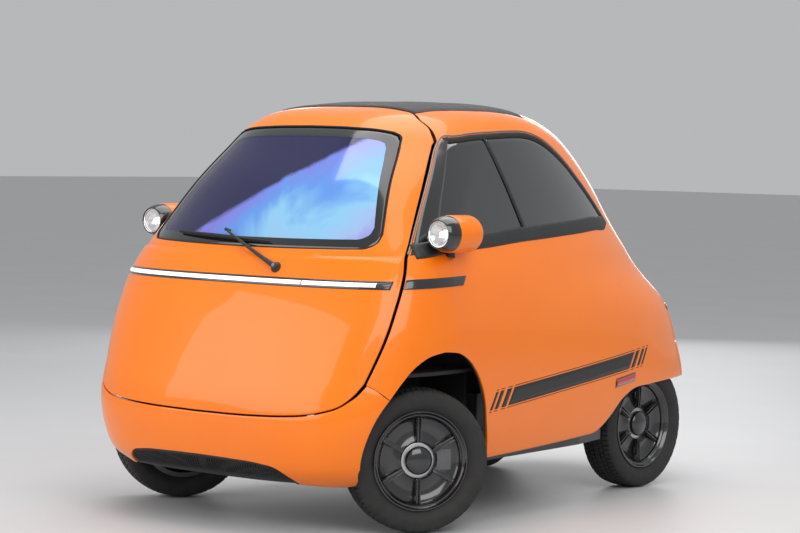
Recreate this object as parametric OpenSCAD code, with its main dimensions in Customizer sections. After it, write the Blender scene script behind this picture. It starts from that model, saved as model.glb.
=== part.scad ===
// Two-seat bubble microcar with a front door, a rear hatch and four wheels.
// +Z is up, the front faces -Y and the car's left is +X.
// The origin is on the ground under the middle of the body.

/* [Body] */
// Overall length of the body
body_length = 2520; // [2300:10:3030]
// Overall width of the body
body_width = 1464; // [1400:2:1760]
// Overall height above the ground
body_height = 1501; // [1440:1:1802]
// Gap along each seam between a moving panel and its neighbours
seam_gap = 7; // [6:0.5:9]
// Gap along each seam between two fixed panels
fixed_gap = 0.8; // [0.4:0.1:1]
// Thickness of the front door
door_wall = 55; // [40:1:66]
// Thickness of each side panel
side_wall = 50; // [40:1:60]
// Thickness of each side panel beside the rear wheel
skirt_wall = 14; // [8:1:16]
// Thickness of the rear hatch
hatch_wall = 40; // [30:1:50]
// Thickness of the bumper and the rear panel
bumper_wall = 26; // [26:1:40]
// Thickness of the roof header
roof_wall = 24; // [18:1:30]
// Thickness of the folding fabric roof
fabric_thick = 14; // [10:1:18]
// Height of the fabric roof above the panels round it
fabric_rise = 5; // [2:1:8]
// Inward slope of the door's and hatch's edges across their thickness
edge_draft = 16; // [12:1:20]

/* [Glass] */
// Thickness of every pane
glass_thick = 5; // [3:0.5:6]
// Depth of the panes below the face of their panel
glass_depth = 3; // [1:0.5:6]
// Gap round the edge of each pane
glass_gap = 0.6; // [0.3:0.1:1]

/* [Wheels] */
// Outer radius of each tyre
tyre_radius = 252; // [236:1:260]
// Width of each tyre at its sidewalls
tyre_width = 145; // [120:1:150]
// Radius of the rim where the tyre sits
bead_radius = 166; // [150:1:178]
// Width of the rim between its flanges
rim_width = 108; // [96:1:112]
// Radius of the brake discs
disc_radius = 105; // [80:1:120]
// Radius of the wheel spindles
spindle_radius = 15; // [12:0.5:18]
// Radial clearance of a spindle in its hub
spindle_clearance = 0.05; // [0.02:0.01:0.1]
// Distance between the front and rear axles
wheelbase = 1554; // [1500:2:1600]
// Distance between the front wheels' middle planes
front_track = 1178; // [1160:2:1200]
// Distance between the rear wheels' middle planes
rear_track = 790; // [760:2:800]
// Distance of the front axle ahead of the middle of the body
front_axle = 756; // [740:1:770]
// Distance from a steering axis out to its wheel's middle plane
steer_offset = 25; // [20:1:30]
// Angle by which the parked front wheels point to the car's right
rest_steer = 29; // [0:1:32]

/* [Cabin] */
// Width of the seat
seat_width = 1080; // [800:10:1120]
// Depth of the seat cushion, front to back
seat_depth = 500; // [400:10:520]
// Thickness of the seat cushion
seat_thick = 115; // [80:5:140]
// Height of the seat's backrest
back_height = 440; // [380:10:480]
// Thickness of the seat's backrest
back_thick = 85; // [60:5:100]
// Radius of the steering wheel
wheel_radius = 165; // [140:5:180]
// Tilt of the steering column above level
column_tilt = 35; // [25:1:45]
// Length of the steering column
column_length = 380; // [340:10:400]
// Distance of the steering wheel from the car's middle
driver_x = 250; // [240:5:260]

/* [Chassis] */
// Height of the floor's underside above the ground
floor_height = 215; // [190:5:225]
// Thickness of the floor pan
floor_thick = 40; // [25:1:50]
// Thickness of the wheel housings and the rear tub
sheet_thick = 12; // [6:1:14]
// Height of the battery pack
battery_height = 170; // [120:5:180]
// Radius of the rear axle beam
beam_radius = 24; // [18:1:30]

/* [Fittings] */
// Radius of each lamp pod
pod_radius = 62; // [50:1:66]
// Length of each lamp pod
pod_length = 200; // [160:5:220]
// Radius of each lamp lens
lens_radius = 40; // [30:1:48]
// Height of the light bars
bar_height = 28; // [20:1:32]
// Distance between the holes of the plate holder
plate_spacing = 200; // [180:5:230]
// Radius of each hole in the plate holder
plate_hole = 3; // [2:0.5:4]

/* [Hidden] */
$fn = 48;

orange = [1, 0.5, 0.02];
black = [0.05, 0.05, 0.05];
dark = [0.2, 0.2, 0.21];
silver = [0.75, 0.75, 0.77];
glass = [0.25, 0.3, 0.4, 0.5];

// Gap between two seated pieces of one body
seat_gap = 0.3;
// How far one shape reaches into another that it is joined with
join = 1;

// Scale of the outlines, which are drawn on a body of 1464 by 2520 by 1501
kx = body_width / 1464;
ky = body_length / 2520;
kz = body_height / 1501;

// Level slices of the body, from the sill to the roof's top: height, half width, the place of
// the widest point, the foremost and rearmost points, the roundness of the front and of the rear,
// and how much the rear narrows
slices = [
    [170, 610, -635, -1185, 1165, 3.2, 4.0, 0.26],
    [240, 675, -665, -1236, 1216, 3.5, 4.6, 0.28],
    [400, 714, -705, -1260, 1259, 3.4, 5.2, 0.30],
    [560, 731, -735, -1222, 1231, 3.0, 4.6, 0.30],
    [720, 729, -735, -1164, 1170, 2.9, 4.1, 0.30],
    [860, 707, -725, -1100, 1058, 2.85, 3.2, 0.30],
    [960, 670, -675, -1048, 974, 2.85, 3.0, 0.28],
    [1060, 624, -595, -982, 892, 3.0, 2.85, 0.26],
    [1200, 558, -465, -876, 777, 3.4, 2.75, 0.22],
    [1320, 496, -335, -766, 655, 3.7, 2.6, 0.18],
    [1400, 446, -235, -688, 528, 4.0, 2.5, 0.14],
    [1456, 372, -135, -590, 382, 4.0, 2.3, 0.10],
    [1490, 225, -75, -400, 196, 3.3, 2.0, 0.05],
    [1501, 0, -55, -55, -55, 2.5, 2.5, 0]
];
last = len(slices) - 1;
above = 2 * slices[last] - slices[last - 1];
below = slices[last - 1];
// The slices with one more at each end, which carry the curve through the end slices
hull_slices = concat([2 * slices[0] - slices[1]], slices,
    [[below[0], above[1], above[2], above[3], above[4], below[5], below[6], below[7]]]);

// ---- Curves ----
function lerp(a, b, t) = a + (b - a) * t;
function clamped(t) = min(max(t, 0), 1);
function unit(v) = v / norm(v);
function spline(a, b, c, d, t) =
    (2 * b + (c - a) * t + (2 * a - 5 * b + 4 * c - d) * t * t + (3 * b - a - 3 * c + d) * t * t * t) / 2;
function reversed(pts) = [for (i = [len(pts) - 1:-1:0]) pts[i]];
function tangent(pts, i) = i == 0 ? unit(pts[1] - pts[0]) : i == len(pts) - 1 ? unit(pts[i] - pts[i - 1])
    : let (a = pts[i] - pts[i - 1], b = pts[i + 1] - pts[i]) (unit(a) * norm(b) + unit(b) * norm(a)) / (norm(a) + norm(b));
function stretch(p, q, m, n, t) = (2 * t - 3) * t * t * (p - q) + p
    + norm(q - p) * t * (t - 1) * ((t - 1) * m + t * n);
// The points of a curve through pts, with steps points to each stretch
function smooth(pts, steps = 4) = let (n = len(pts) - 1) concat([for (i = [0:n - 1], s = [0:steps - 1])
    stretch(pts[i], pts[i + 1], tangent(pts, i), tangent(pts, i + 1), s / steps)], [pts[n]]);
function run_length(pts, upto) = upto == 0 ? 0 : run_length(pts, upto - 1) + norm(pts[upto] - pts[upto - 1]);
function along(pts, runs, d, i = 1) = i >= len(pts) - 1 || runs[i] >= d
    ? lerp(pts[i - 1], pts[i], (d - runs[i - 1]) / (runs[i] - runs[i - 1])) : along(pts, runs, d, i + 1);
// The curve through pts cut into n equal steps
function evenly(pts, n) = let (fine = smooth(pts), runs = [for (i = [0:len(fine) - 1]) run_length(fine, i)],
    whole = runs[len(runs) - 1]) [for (i = [0:n]) along(fine, runs, whole * i / n)];
// A closed outline from stretches, each given as its points and its number of steps
function outline(stretches) = [for (s = stretches) let (e = evenly(s[0], s[1])) each [for (i = [0:s[1] - 1]) e[i]]];
function side_sign(loop) = sign([for (i = [0:len(loop) - 1]) let (p = loop[i], q = loop[(i + 1) % len(loop)])
    cross(p, q)] * [for (p = loop) 1]);
function turned(v) = [-v[1], v[0]];
// A closed outline moved inwards by d, which is one distance or a list with one for each edge
function inset(loop, d) = let (s = side_sign(loop), n = len(loop)) [for (i = [0:n - 1])
    let (a = turned(unit(loop[i] - loop[(i + n - 1) % n])), b = turned(unit(loop[(i + 1) % n] - loop[i])),
        c = a * b, p = is_list(d) ? d[(i + n - 1) % n] : d, q = is_list(d) ? d[i] : d)
    loop[i] + s * (c > 0.9 ? (a + b) * (p + q) / 4 : (a * (p - q * c) + b * (q - p * c)) / max(1 - c * c, 0.3))];
// A list of edge distances from stretches, each given as its number of edges and its distance
function edges(stretches) = [for (s = stretches) each [for (i = [1:s[0]]) s[1]]];
function both_edges(stretches) = concat(edges(stretches), reversed(edges(stretches)));

// ---- The body's surface ----
function z_of(i, t) = spline(hull_slices[i][0], hull_slices[i + 1][0], hull_slices[i + 2][0], hull_slices[i + 3][0], t);
function find_t(i, z, low = 0, high = 1, n = 14) = n == 0 ? (low + high) / 2
    : z_of(i, (low + high) / 2) < z ? find_t(i, z, (low + high) / 2, high, n - 1)
    : find_t(i, z, low, (low + high) / 2, n - 1);
function slice_index(z, i = 0) = i >= last - 1 || slices[i + 1][0] > z ? i : slice_index(z, i + 1);
// The level slice at height z of the unscaled body
function slice_at(z) = let (i = slice_index(z), t = find_t(i, z))
    spline(hull_slices[i], hull_slices[i + 1], hull_slices[i + 2], hull_slices[i + 3], t);
function round_off(t, n) = pow(max(1 - pow(min(max(t, 0), 1), n), 0), 1 / n);
function slice_x(s, y) = y < s[2] ? s[1] * round_off((s[2] - y) / (s[2] - s[3]), s[5])
    : let (t = (y - s[2]) / (s[4] - s[2])) s[1] * (1 - s[7] * min(t, 1)) * round_off(t, s[6]);
function slice_front(s, x) = s[2] - (s[2] - s[3]) * round_off(abs(x) / s[1], s[5]);
function slice_rear(s, x, low = 0, high = 1, n = 20) = n == 0 ? s[2] + (s[4] - s[2]) * (low + high) / 2
    : s[1] * (1 - s[7] * (low + high) / 2) * round_off((low + high) / 2, s[6]) > abs(x)
        ? slice_rear(s, x, (low + high) / 2, high, n - 1) : slice_rear(s, x, low, (low + high) / 2, n - 1);
function find_roof(x, y, low, high, n = 14) = n == 0 ? (low + high) / 2
    : slice_x(slice_at((low + high) / 2), y) > x ? find_roof(x, y, (low + high) / 2, high, n - 1)
    : find_roof(x, y, low, (low + high) / 2, n - 1);
// Heights and places on the surface, in the unscaled body
function side_x(y, z) = slice_x(slice_at(z), y);
function front_y(x, z) = slice_front(slice_at(z), x);
function rear_y(x, z) = slice_rear(slice_at(z), x);
function roof_z(x, y) = find_roof(abs(x), y, 1250, 1500.9);
function sized(p) = [p[0] * kx, p[1] * ky, p[2] * kz];
function on_side(p) = sized([side_x(p[0], p[1]), p[0], p[1]]);
function on_front(p) = sized([p[0], front_y(p[0], p[1]), p[1]]);
function on_rear(p) = sized([p[0], rear_y(p[0], p[1]), p[1]]);
function on_roof(p) = sized([p[0], p[1], roof_z(p[0], p[1])]);
// Half width of the real body at a real place and height
function wide_at(y, z) = side_x(y / ky, z / kz) * kx;

// ---- Grids of points and the shells between them ----
// Rows of flat points from one outline or curve to another
function rows_between(a, b, n, from = 0, to = 1) = [for (i = [0:n]) [for (j = [0:len(a) - 1])
    lerp(a[j], b[j], from + (to - from) * i / n)]];
function normal_at(g, i, j, ring) = let (m = len(g) - 1, n = len(g[0]),
    after = ring ? (j + 1) % n : min(j + 1, n - 1), before = ring ? (j + n - 1) % n : max(j - 1, 0))
    unit(cross(g[i][after] - g[i][before], g[min(i + 1, m)][j] - g[max(i - 1, 0)][j]));
middle = [0, 0, body_height * 0.45];
function facing(g, ring) = let (i = floor(len(g) / 2), j = floor(len(g[0]) / 3))
    sign(normal_at(g, i, j, ring) * (g[i][j] - middle));
// The point that lies depth below the body's surface at the flat place p
step = 3;
function dug(place, p, depth) = let (o = place(p),
    n = unit(cross(place(p + [step, 0]) - place(p - [step, 0]), place(p + [0, step]) - place(p - [0, step]))))
    o - depth * sign(n * (o - middle)) * n;

// A closed shell between two grids; a ring's columns run round, and hubs close a ring's first row
module shell(outer, inner, ring = false, hubs = []) {
    m = len(outer);
    n = len(outer[0]);
    half = m * n;
    cols = ring ? n : n - 1;
    function id(i, j) = i * n + j % n;
    skin = [for (i = [0:m - 2], j = [0:cols - 1])
        each [[id(i, j), id(i + 1, j + 1), id(i, j + 1)], [id(i, j), id(i + 1, j), id(i + 1, j + 1)]]];
    back = [for (f = skin) [f[0] + half, f[2] + half, f[1] + half]];
    function wall(a, b) = [[a, b, b + half], [a, b + half, a + half]];
    end = [for (j = [0:cols - 1]) each wall(id(m - 1, j + 1), id(m - 1, j))];
    start = len(hubs) > 0
        ? [for (j = [0:cols - 1]) each [[id(0, j), id(0, j + 1), 2 * half],
            [id(0, j + 1) + half, id(0, j) + half, 2 * half + 1]]]
        : [for (j = [0:cols - 1]) each wall(id(0, j), id(0, j + 1))];
    ends = ring ? [] : [for (i = [0:m - 2])
        each concat(wall(id(i + 1, 0), id(i, 0)), wall(id(i, n - 1), id(i + 1, n - 1)))];
    faces = concat(skin, back, start, end, ends);
    flip = facing(outer, ring) < 0;
    polyhedron(concat([for (r = outer) each r], [for (r = inner) each r], hubs),
        flip ? [for (f = faces) [f[0], f[2], f[1]]] : faces);
}

// A panel between an opening and its outline, mapped onto the body by one of the on_ functions
module holed_panel(opening, edge, slanted, wall, rows, place) {
    shell([for (r = rows_between(opening, edge, rows)) [for (p = r) place(p)]],
        [for (r = rows_between(opening, slanted, rows)) [for (p = r) dug(place, p, wall(p))]], ring = true);
}

// A pane that fills a closed outline
module pane(loop, rows, place) {
    centre = [for (k = [0, 1]) [for (p = loop) p[k]] * [for (p = loop) 1] / len(loop)];
    flat = rows_between([for (p = loop) lerp(centre, p, 1 / rows)], loop, rows - 1);
    top = [for (r = flat) [for (p = r) dug(place, p, glass_depth)]];
    under = [for (r = flat) [for (p = r) dug(place, p, glass_depth + glass_thick)]];
    function mid(g) = [for (k = [0:2]) [for (p = g[0]) p[k]] * [for (p = g[0]) 1] / len(g[0])];
    shell(top, under, ring = true, hubs = [mid(top), mid(under)]);
}

// A sheet between two curves, from depth high to depth low below the body's surface
module sheet(a, b, rows, high, low, place) {
    flat = rows_between(a, b, rows);
    shell([for (r = flat) [for (p = r) dug(place, p, high)]], [for (r = flat) [for (p = r) dug(place, p, low)]]);
}

module mirrored() mirror([1, 0, 0]) children();

// ---- Outlines on the unscaled body ----
roof_half = 335;
roof_front = -508;
roof_back = 130;
hatch_front = 250;
seam_low = 533;
// Seam between the door and the side panel, from the roof down, as places front to back and heights
upper_seam = [[-536, 1353], [-646, 1239], [-739, 1133], [-824, 1028], [-880, 956]];
lower_seam = [[-880, 956], [-933, 859], [-971, 782], [-1008, 699], [-1047, 616], [-1087, seam_low]];
corner_seam = [[-530, 1428], [-526, 1400], [-536, 1353]];
// Door's lower edge, outwards from the middle and up, as places across and heights
door_foot = [[0, 407], [261, 411], [404, 418], [459, 423], [524, 436], [580, 459], [613, 496]];
bumper_end = [[-1087, seam_low], [-1058, 512], [-1020, 480]];
// Hatch's side, from its top corner down, as places across and heights
hatch_half = 275;
hatch_side = [[hatch_half, roof_z(hatch_half, hatch_front)], [278, 1300], [285, 1180], [303, 1060], [345, 920],
    [390, 780], [420, 660], [430, 565]];
hatch_line = evenly(hatch_side, 12);
hatch_foot = 565;
skirt_corner = [430, 427];

// The roof's cross line at a place front to back, outwards from the middle
function roof_line(y, half, n = 6) = [for (i = [0:n]) let (x = half * i / n) [x, roof_z(x, y)]];
function across(seam) = [for (p = seam) [side_x(p[0], p[1]), p[1]]];
function back_seam(pts) = [for (p = pts) [rear_y(p[0], p[1]), p[1]]];

// Front wheel arch: an upright oval round the parked wheel
arch_centre = -(front_axle + 18) / ky;
arch_reach = 292;
arch_rise = 384;
function arch(angle) = [arch_centre - arch_reach * pow(abs(cos(angle)), 0.9) * sign(cos(angle)),
    250 + arch_rise * sin(angle)];
arch_front = [for (a = [46:14:90]) arch(a)];
arch_rear = concat([for (a = [90:14:160]) arch(a)], [[-450, 236]]);
sill = [[-450, 236], [-229, 242], [0, 250], [200, 258]];
rear_skirt = [[200, 258], [310, 268], [400, 318], [480, 378], [564, 412], [715, 422], [860, 426],
    [rear_y(skirt_corner[0], skirt_corner[1]), skirt_corner[1]]];

// Outline of the left side panel, from the roof's front corner to the rear and round
side_edge = outline([
    [[for (i = [0:8]) let (y = lerp(roof_front, roof_back, i / 8)) [y, roof_z(roof_half, y)]], 10],
    [[for (i = [0:3]) let (y = lerp(roof_back, hatch_front, i / 3)) [y, roof_z(lerp(roof_half, hatch_half, i / 3), y)]], 4],
    [back_seam([for (i = [0:6]) hatch_line[i]]), 8],
    [back_seam([for (i = [6:12]) hatch_line[i]]), 8],
    [back_seam([[hatch_side[7][0], hatch_foot], skirt_corner]), 2],
    [reversed(rear_skirt), 12],
    [reversed(sill), 6],
    [reversed(arch_rear), 12],
    [concat(reversed(arch_front), [[-1020, 480]]), 7],
    [reversed(bumper_end), 2],
    [reversed(lower_seam), 7],
    [reversed(upper_seam), 9],
    [concat([[-536, 1353], [-526, 1400], [-530, 1428]], [[roof_front, roof_z(roof_half, roof_front)]]), 3]
]);
side_gaps = edges([[13, 0], [1, seam_gap / 4], [16, seam_gap / 2], [41, 0], [18, seam_gap / 2],
    [1, seam_gap / 4]]);
// Window opening of the left side panel, matched point for point to its outline
window_top = [[-440, 1368], [-330, 1379], [-200, 1386], [-80, 1391], [20, 1391], [120, 1377], [220, 1343], [320, 1288]];
window_rear = [[320, 1288], [410, 1222], [500, 1155], [585, 1088], [630, 1050]];
window_front = [[-826, 960], [-784, 1016], [-700, 1121], [-608, 1226], [-500, 1340]];
side_opening = outline([
    [window_top, 14],
    [window_rear, 8],
    [[[630, 1050], [590, 1037], [450, 1033], [300, 1026]], 10],
    [[[300, 1026], [100, 1018], [-60, 1011]], 12],
    [[[-60, 1011], [-200, 1005], [-300, 999]], 6],
    [[[-300, 999], [-400, 992], [-560, 984]], 12],
    [[[-560, 984], [-700, 976]], 9],
    [[[-700, 976], [-826, 960]], 7],
    [window_front, 9],
    [[[-500, 1340], [-485, 1360], [-440, 1368]], 3]
]);

// Outline of the door and of its windscreen opening, from the top middle to the left and round
function both_halves(half) = concat(half, [for (i = [len(half) - 2:-1:1]) [-half[i][0], half[i][1]]]);
door_edge = both_halves(concat(outline([
    [concat(roof_line(roof_front, roof_half), across(corner_seam)), 8],
    [across(evenly(upper_seam, 9)), 8],
    [across(evenly(lower_seam, 7)), 8],
    [concat([[side_x(-1087, seam_low), seam_low]], reversed(door_foot)), 10]]), [door_foot[0]]));
screen_opening = both_halves(concat(outline([
    [[[0, 1405], [200, 1401], [330, 1392], [372, 1384]], 8],
    [[[372, 1384], [400, 1368], [412, 1340], [468, 1210], [515, 1090], [538, 1030]], 8],
    [[[538, 1030], [536, 1000], [515, 984], [470, 980], [400, 978]], 8],
    [[[400, 978], [200, 975], [0, 974]], 10]]), [[0, 974]]));

// The roof's slope turns a small step in height into a long one, so the gap there is stated in height
roof_gap = seam_gap / 11;
function door_gaps(draft) = both_edges([[6, roof_gap + draft / 6], [2, seam_gap / 3 + draft / 2], [26, seam_gap / 2 + draft]]);
function hatch_gaps(draft) = both_edges([[5, roof_gap + draft / 6], [20, seam_gap / 2 + draft]]);

// Outline of the hatch and of its window opening, from the top middle to the left and round
hatch_edge = both_halves(concat(outline([
    [roof_line(hatch_front, hatch_half), 6],
    [hatch_line, 12],
    [[[430, hatch_foot], [0, hatch_foot]], 7]]), [[0, hatch_foot]]));
back_opening = both_halves(concat(outline([
    [[[0, 1330], [110, 1328], [165, 1320]], 6],
    [[[165, 1320], [190, 1300], [212, 1200], [238, 1080], [240, 1046]], 12],
    [[[240, 1046], [225, 1024], [160, 1016], [0, 1012]], 7]]), [[0, 1012]]));

// ---- Chassis ----
floor_top = floor_height + floor_thick;
rear_y_place = wheelbase - front_axle;
king_x = front_track / 2 - steer_offset * cos(rest_steer);
king_y = -front_axle;
housing_x = 356;
housing_top = 560;
housing_front = king_y - 279;
housing_back = king_y + 279;
tub_front = 500 * ky;
nose_front = -1085 * ky;

module floor_pan() color(dark) {
    wide_from = housing_back + 14;
    wide_to = 290 * ky;
    flank = [for (i = [0:6]) let (y = lerp(wide_from, wide_to, i / 6)) [wide_at(y, floor_height + 20) - side_wall - 8, y]];
    half = concat([[housing_x - 2, nose_front], [housing_x - 2, wide_from]], flank, [[460, tub_front - seat_gap]]);
    translate([0, 0, floor_height]) linear_extrude(floor_thick)
        polygon(concat(half, [for (i = [len(half) - 1:-1:0]) [-half[i][0], half[i][1]]]));
    // Cross member below the door sill
    translate([-housing_x + 2, nose_front, floor_height]) cube([2 * housing_x - 4, 40, 180]);
}

battery_front = -170;
battery_back = 320;
battery_top = floor_top + seat_gap + battery_height;
module battery_pack() color(silver)
    translate([-380, battery_front, floor_top + seat_gap]) cube([760, battery_back - battery_front, battery_height]);

motor_length = 235;
module drive_motor() color(silver)
    translate([-130, tub_front + sheet_thick + seat_gap, 200]) cube([260, motor_length, 200]);

tub_back = 1140 * ky;
module rear_tub() color(dark) {
    flank = [for (i = [0:8]) let (y = lerp(tub_front, tub_back, i / 8)) [wide_at(y, housing_top) - side_wall - 12, y]];
    translate([0, 0, housing_top - sheet_thick]) linear_extrude(sheet_thick)
        polygon(concat(flank, [for (i = [len(flank) - 1:-1:0]) [-flank[i][0], flank[i][1]]]));
    translate([-450, tub_front, floor_height]) cube([900, sheet_thick, housing_top - floor_height - join]);
}

module wheel_housing() color(black) {
    flank = [for (i = [0:8]) let (y = lerp(housing_front, housing_back, i / 8))
        [wide_at(y, housing_top) - side_wall - 14, y]];
    translate([0, 0, housing_top - sheet_thick]) linear_extrude(sheet_thick)
        polygon(concat([[housing_x, housing_back], [housing_x, housing_front]], flank));
    translate([housing_x, housing_front, floor_height])
        cube([sheet_thick, housing_back - housing_front, housing_top - floor_height - join]);
    translate([housing_x, housing_front, 240]) cube([150, sheet_thick, housing_top - 240 - join]);
    translate([housing_x, housing_back - sheet_thick, floor_height])
        cube([220, sheet_thick, housing_top - floor_height - join]);
}
module left_wheel_housing() wheel_housing();
module right_wheel_housing() mirrored() wheel_housing();

// ---- Running gear ----
lower_ball = tyre_radius - 92;
upper_ball = tyre_radius + 92;
arm_thick = 18;
ball_pin = 8;
damper_x = 130;
module link_arm(z) {
    translate([0, 0, z]) linear_extrude(arm_thick) {
        circle(r = 20);
        polygon([[0, -20], [0, 20], [housing_x + sheet_thick + seat_gap - king_x, 70],
            [housing_x + sheet_thick + seat_gap - king_x, -70]]);
    }
}
module half_suspension() translate([king_x, king_y, 0]) {
    link_arm(lower_ball - arm_thick);
    link_arm(upper_ball);
    translate([0, 0, lower_ball - join]) cylinder(r = ball_pin, h = 25);
    translate([0, 0, upper_ball - 24]) cylinder(r = ball_pin, h = 25);
    // Spring and damper between the arms and up to the housing
    translate([-damper_x, 0, lower_ball - join]) cylinder(r = 14, h = upper_ball - lower_ball + 2 * join);
    translate([-damper_x, 0, upper_ball + arm_thick - join])
        cylinder(r = 26, h = housing_top - sheet_thick - seat_gap - upper_ball - arm_thick + join);
}
module front_suspension() color(dark) {
    half_suspension();
    mirrored() half_suspension();
}

// Local frame of a front wheel: +X points out of the car through the wheel's middle
module at_front_wheel(left) translate([(left ? 1 : -1) * king_x, king_y, 0])
    rotate([0, 0, (left ? 0 : 180) - rest_steer]) translate([steer_offset, 0, tyre_radius]) children();

hub_out = 38;
module spindle(inner) rotate([0, 90, 0]) translate([0, 0, inner]) cylinder(r = spindle_radius, h = hub_out - 14 - inner);

module knuckle() {
    post = upper_ball - lower_ball - 1;
    difference() {
        union() {
            translate([-steer_offset, 0, -post / 2]) cylinder(r = 17, h = post);
            spindle(-steer_offset);
            // Steering arm and brake caliper
            translate([-steer_offset - 14, -92, -post / 2 + 10]) cube([22, 92, 16]);
            translate([-26, 0, -36]) cube([22, disc_radius + 8, 72]);
            translate([-26, disc_radius + 6, -36]) cube([48, 14, 72]);
            translate([16, 68, -36]) cube([6, disc_radius - 60, 72]);
        }
        for (s = [-1, 1]) translate([-steer_offset, 0, s * post / 2 - 26]) cylinder(r = ball_pin + 0.05, h = 52);
    }
}
module left_knuckle() color(silver) at_front_wheel(true) knuckle();
module right_knuckle() color(silver) at_front_wheel(false) knuckle();

module rear_axle() color(dark) {
    translate([0, rear_y_place, tyre_radius]) {
        rotate([0, 90, 0]) cylinder(r = beam_radius, h = rear_track - 100, center = true);
        translate([rear_track / 2, 0, 0]) spindle(-60);
        translate([-rear_track / 2, 0, 0]) mirrored() spindle(-60);
    }
    for (s = [-1, 1]) {
        // Trailing arm and spring unit
        translate([s * (rear_track / 2 - 130) - 20, tub_front + sheet_thick + seat_gap, tyre_radius - 20])
            cube([40, rear_y_place - tub_front - sheet_thick - 10, 40]);
        translate([s * (rear_track / 2 - 130), rear_y_place, tyre_radius])
            cylinder(r = 30, h = housing_top - sheet_thick - seat_gap - tyre_radius);
    }
}

module tyre() color(black) rotate([0, 90, 0]) rotate_extrude($fn = 96) {
    half = tyre_width / 2;
    bead = rim_width / 2 - seat_gap;
    high = tyre_radius - bead_radius;
    flange = bead_radius + 9 + join;
    wall = [[bead_radius + seat_gap, bead], [flange, bead], [flange + high * 0.12, bead + 9], [bead_radius + high * 0.45, half],
        [bead_radius + high * 0.7, half - 2], [bead_radius + high * 0.88, half - 9], [tyre_radius - 3, half - 20],
        [tyre_radius, half - 36]];
    curve = concat([wall[0]], smooth([for (i = [1:len(wall) - 1]) wall[i]], 3));
    polygon(concat(curve, [for (i = [len(curve) - 1:-1:0]) [curve[i][0], -curve[i][1]]]));
}

spoke_count = 6;
web_in = 30;
web_thick = 8;
module rim() color(black) rotate([0, 90, 0]) {
    half = rim_width / 2;
    difference() {
        union() {
            rotate_extrude($fn = 96) {
                polygon([[bead_radius - 9, -half - 6], [bead_radius + 9, -half - 6], [bead_radius + 9, -half],
                    [bead_radius, -half], [bead_radius, half], [bead_radius + 9, half], [bead_radius + 9, half + 6],
                    [bead_radius - 9, half + 6]]);
                translate([20, web_in]) square([bead_radius - 26, web_thick]);
            }
            translate([0, 0, -2]) cylinder(r = 34, h = web_in + web_thick + 2);
            translate([0, 0, 2]) cylinder(r = disc_radius, h = 8);
            // Domed hub cap
            translate([0, 0, web_in + web_thick - join]) rotate_extrude()
                polygon(concat([[0, 0]], [for (a = [0:10:90]) [46 * cos(a), join + 16 * sin(a)]]));
        }
        translate([0, 0, -join - 2]) cylinder(r = spindle_radius + spindle_clearance, h = web_in);
        for (i = [0:spoke_count - 1]) rotate(i * 360 / spoke_count)
            translate([0, 0, web_in - join]) linear_extrude(web_thick + 2 * join) polygon(concat(
                [for (a = [-20:5:20]) (bead_radius - 26) * [cos(a), sin(a)]],
                [for (a = [14:-7:-14]) 66 * [cos(a), sin(a)]]));
    }
}
module at_rear_wheel(left) translate([(left ? 1 : -1) * rear_track / 2, rear_y_place, tyre_radius])
    rotate([0, 0, left ? 0 : 180]) children();
module front_left_tyre() at_front_wheel(true) tyre();
module front_left_rim() at_front_wheel(true) rim();
module front_right_tyre() at_front_wheel(false) tyre();
module front_right_rim() at_front_wheel(false) rim();
module rear_left_tyre() at_rear_wheel(true) tyre();
module rear_left_rim() at_rear_wheel(true) rim();
module rear_right_tyre() at_rear_wheel(false) tyre();
module rear_right_rim() at_rear_wheel(false) rim();

// ---- Body panels ----
module side_panel() color(orange)
    holed_panel(side_opening, inset(side_edge, side_gaps), inset(side_edge, side_gaps),
        function (p) lerp(side_wall, skirt_wall, clamped((p[0] - 430) / 120) * clamped((640 - p[1]) / 100)), 8,
        function (p) on_side(p));
module left_side_panel() side_panel();
module right_side_panel() mirrored() side_panel();

// Two panes split along a slanted line
divider_top = [-274, 1383];
divider_low = [-142, 1008];
divider_gap = 2;
module window(top, low, steps) {
    loop = inset(concat(evenly(top, steps), evenly(reversed(low), steps)), 2 * glass_gap);
    sheet([for (i = [0:steps]) loop[i]], [for (i = [0:steps]) loop[2 * steps + 1 - i]], 5,
        glass_depth, glass_depth + glass_thick, function (p) on_side(p));
}
module side_windows() color(glass) {
    shift = [divider_gap, 0];
    window(concat([[-497, 1338], [-481, 1355], [-438, 1366]], [window_top[1]], [divider_top - shift]),
        [[-826, 960], [-700, 976], [-600, 982], [-400, 992], [-200, 1005], divider_low - shift], 14);
    window(concat([divider_top + shift], [for (i = [2:7]) window_top[i]], [for (i = [1:3]) window_rear[i]], [[621, 1057]]),
        [divider_low + shift, [0, 1013], [230, 1023], [450, 1033], [585, 1037], [603, 1042]], 26);
}
module left_side_windows() side_windows();
module right_side_windows() mirrored() side_windows();

module roof_header() color(orange) {
    spread = [for (i = [-8:8]) i / 8];
    slant = fixed_gap + 4;
    sheet([for (i = spread) [(roof_half - slant) * i, roof_back]],
        [for (i = spread) [(hatch_half - slant) * i, hatch_front - seam_gap / 2]], 3,
        0, roof_wall, function (p) on_roof(p));
}

module fabric_roof() color(black) {
    edge = roof_half - 1.2 * fixed_gap;
    xs = [for (i = [-8:8]) edge * i / 8];
    sheet([for (x = xs) [x, roof_front + seam_gap / 2 + 1]], [for (x = xs) [x, roof_back - fixed_gap]], 12,
        -fabric_rise, fabric_thick - fabric_rise, function (p) on_roof(p));
}

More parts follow.
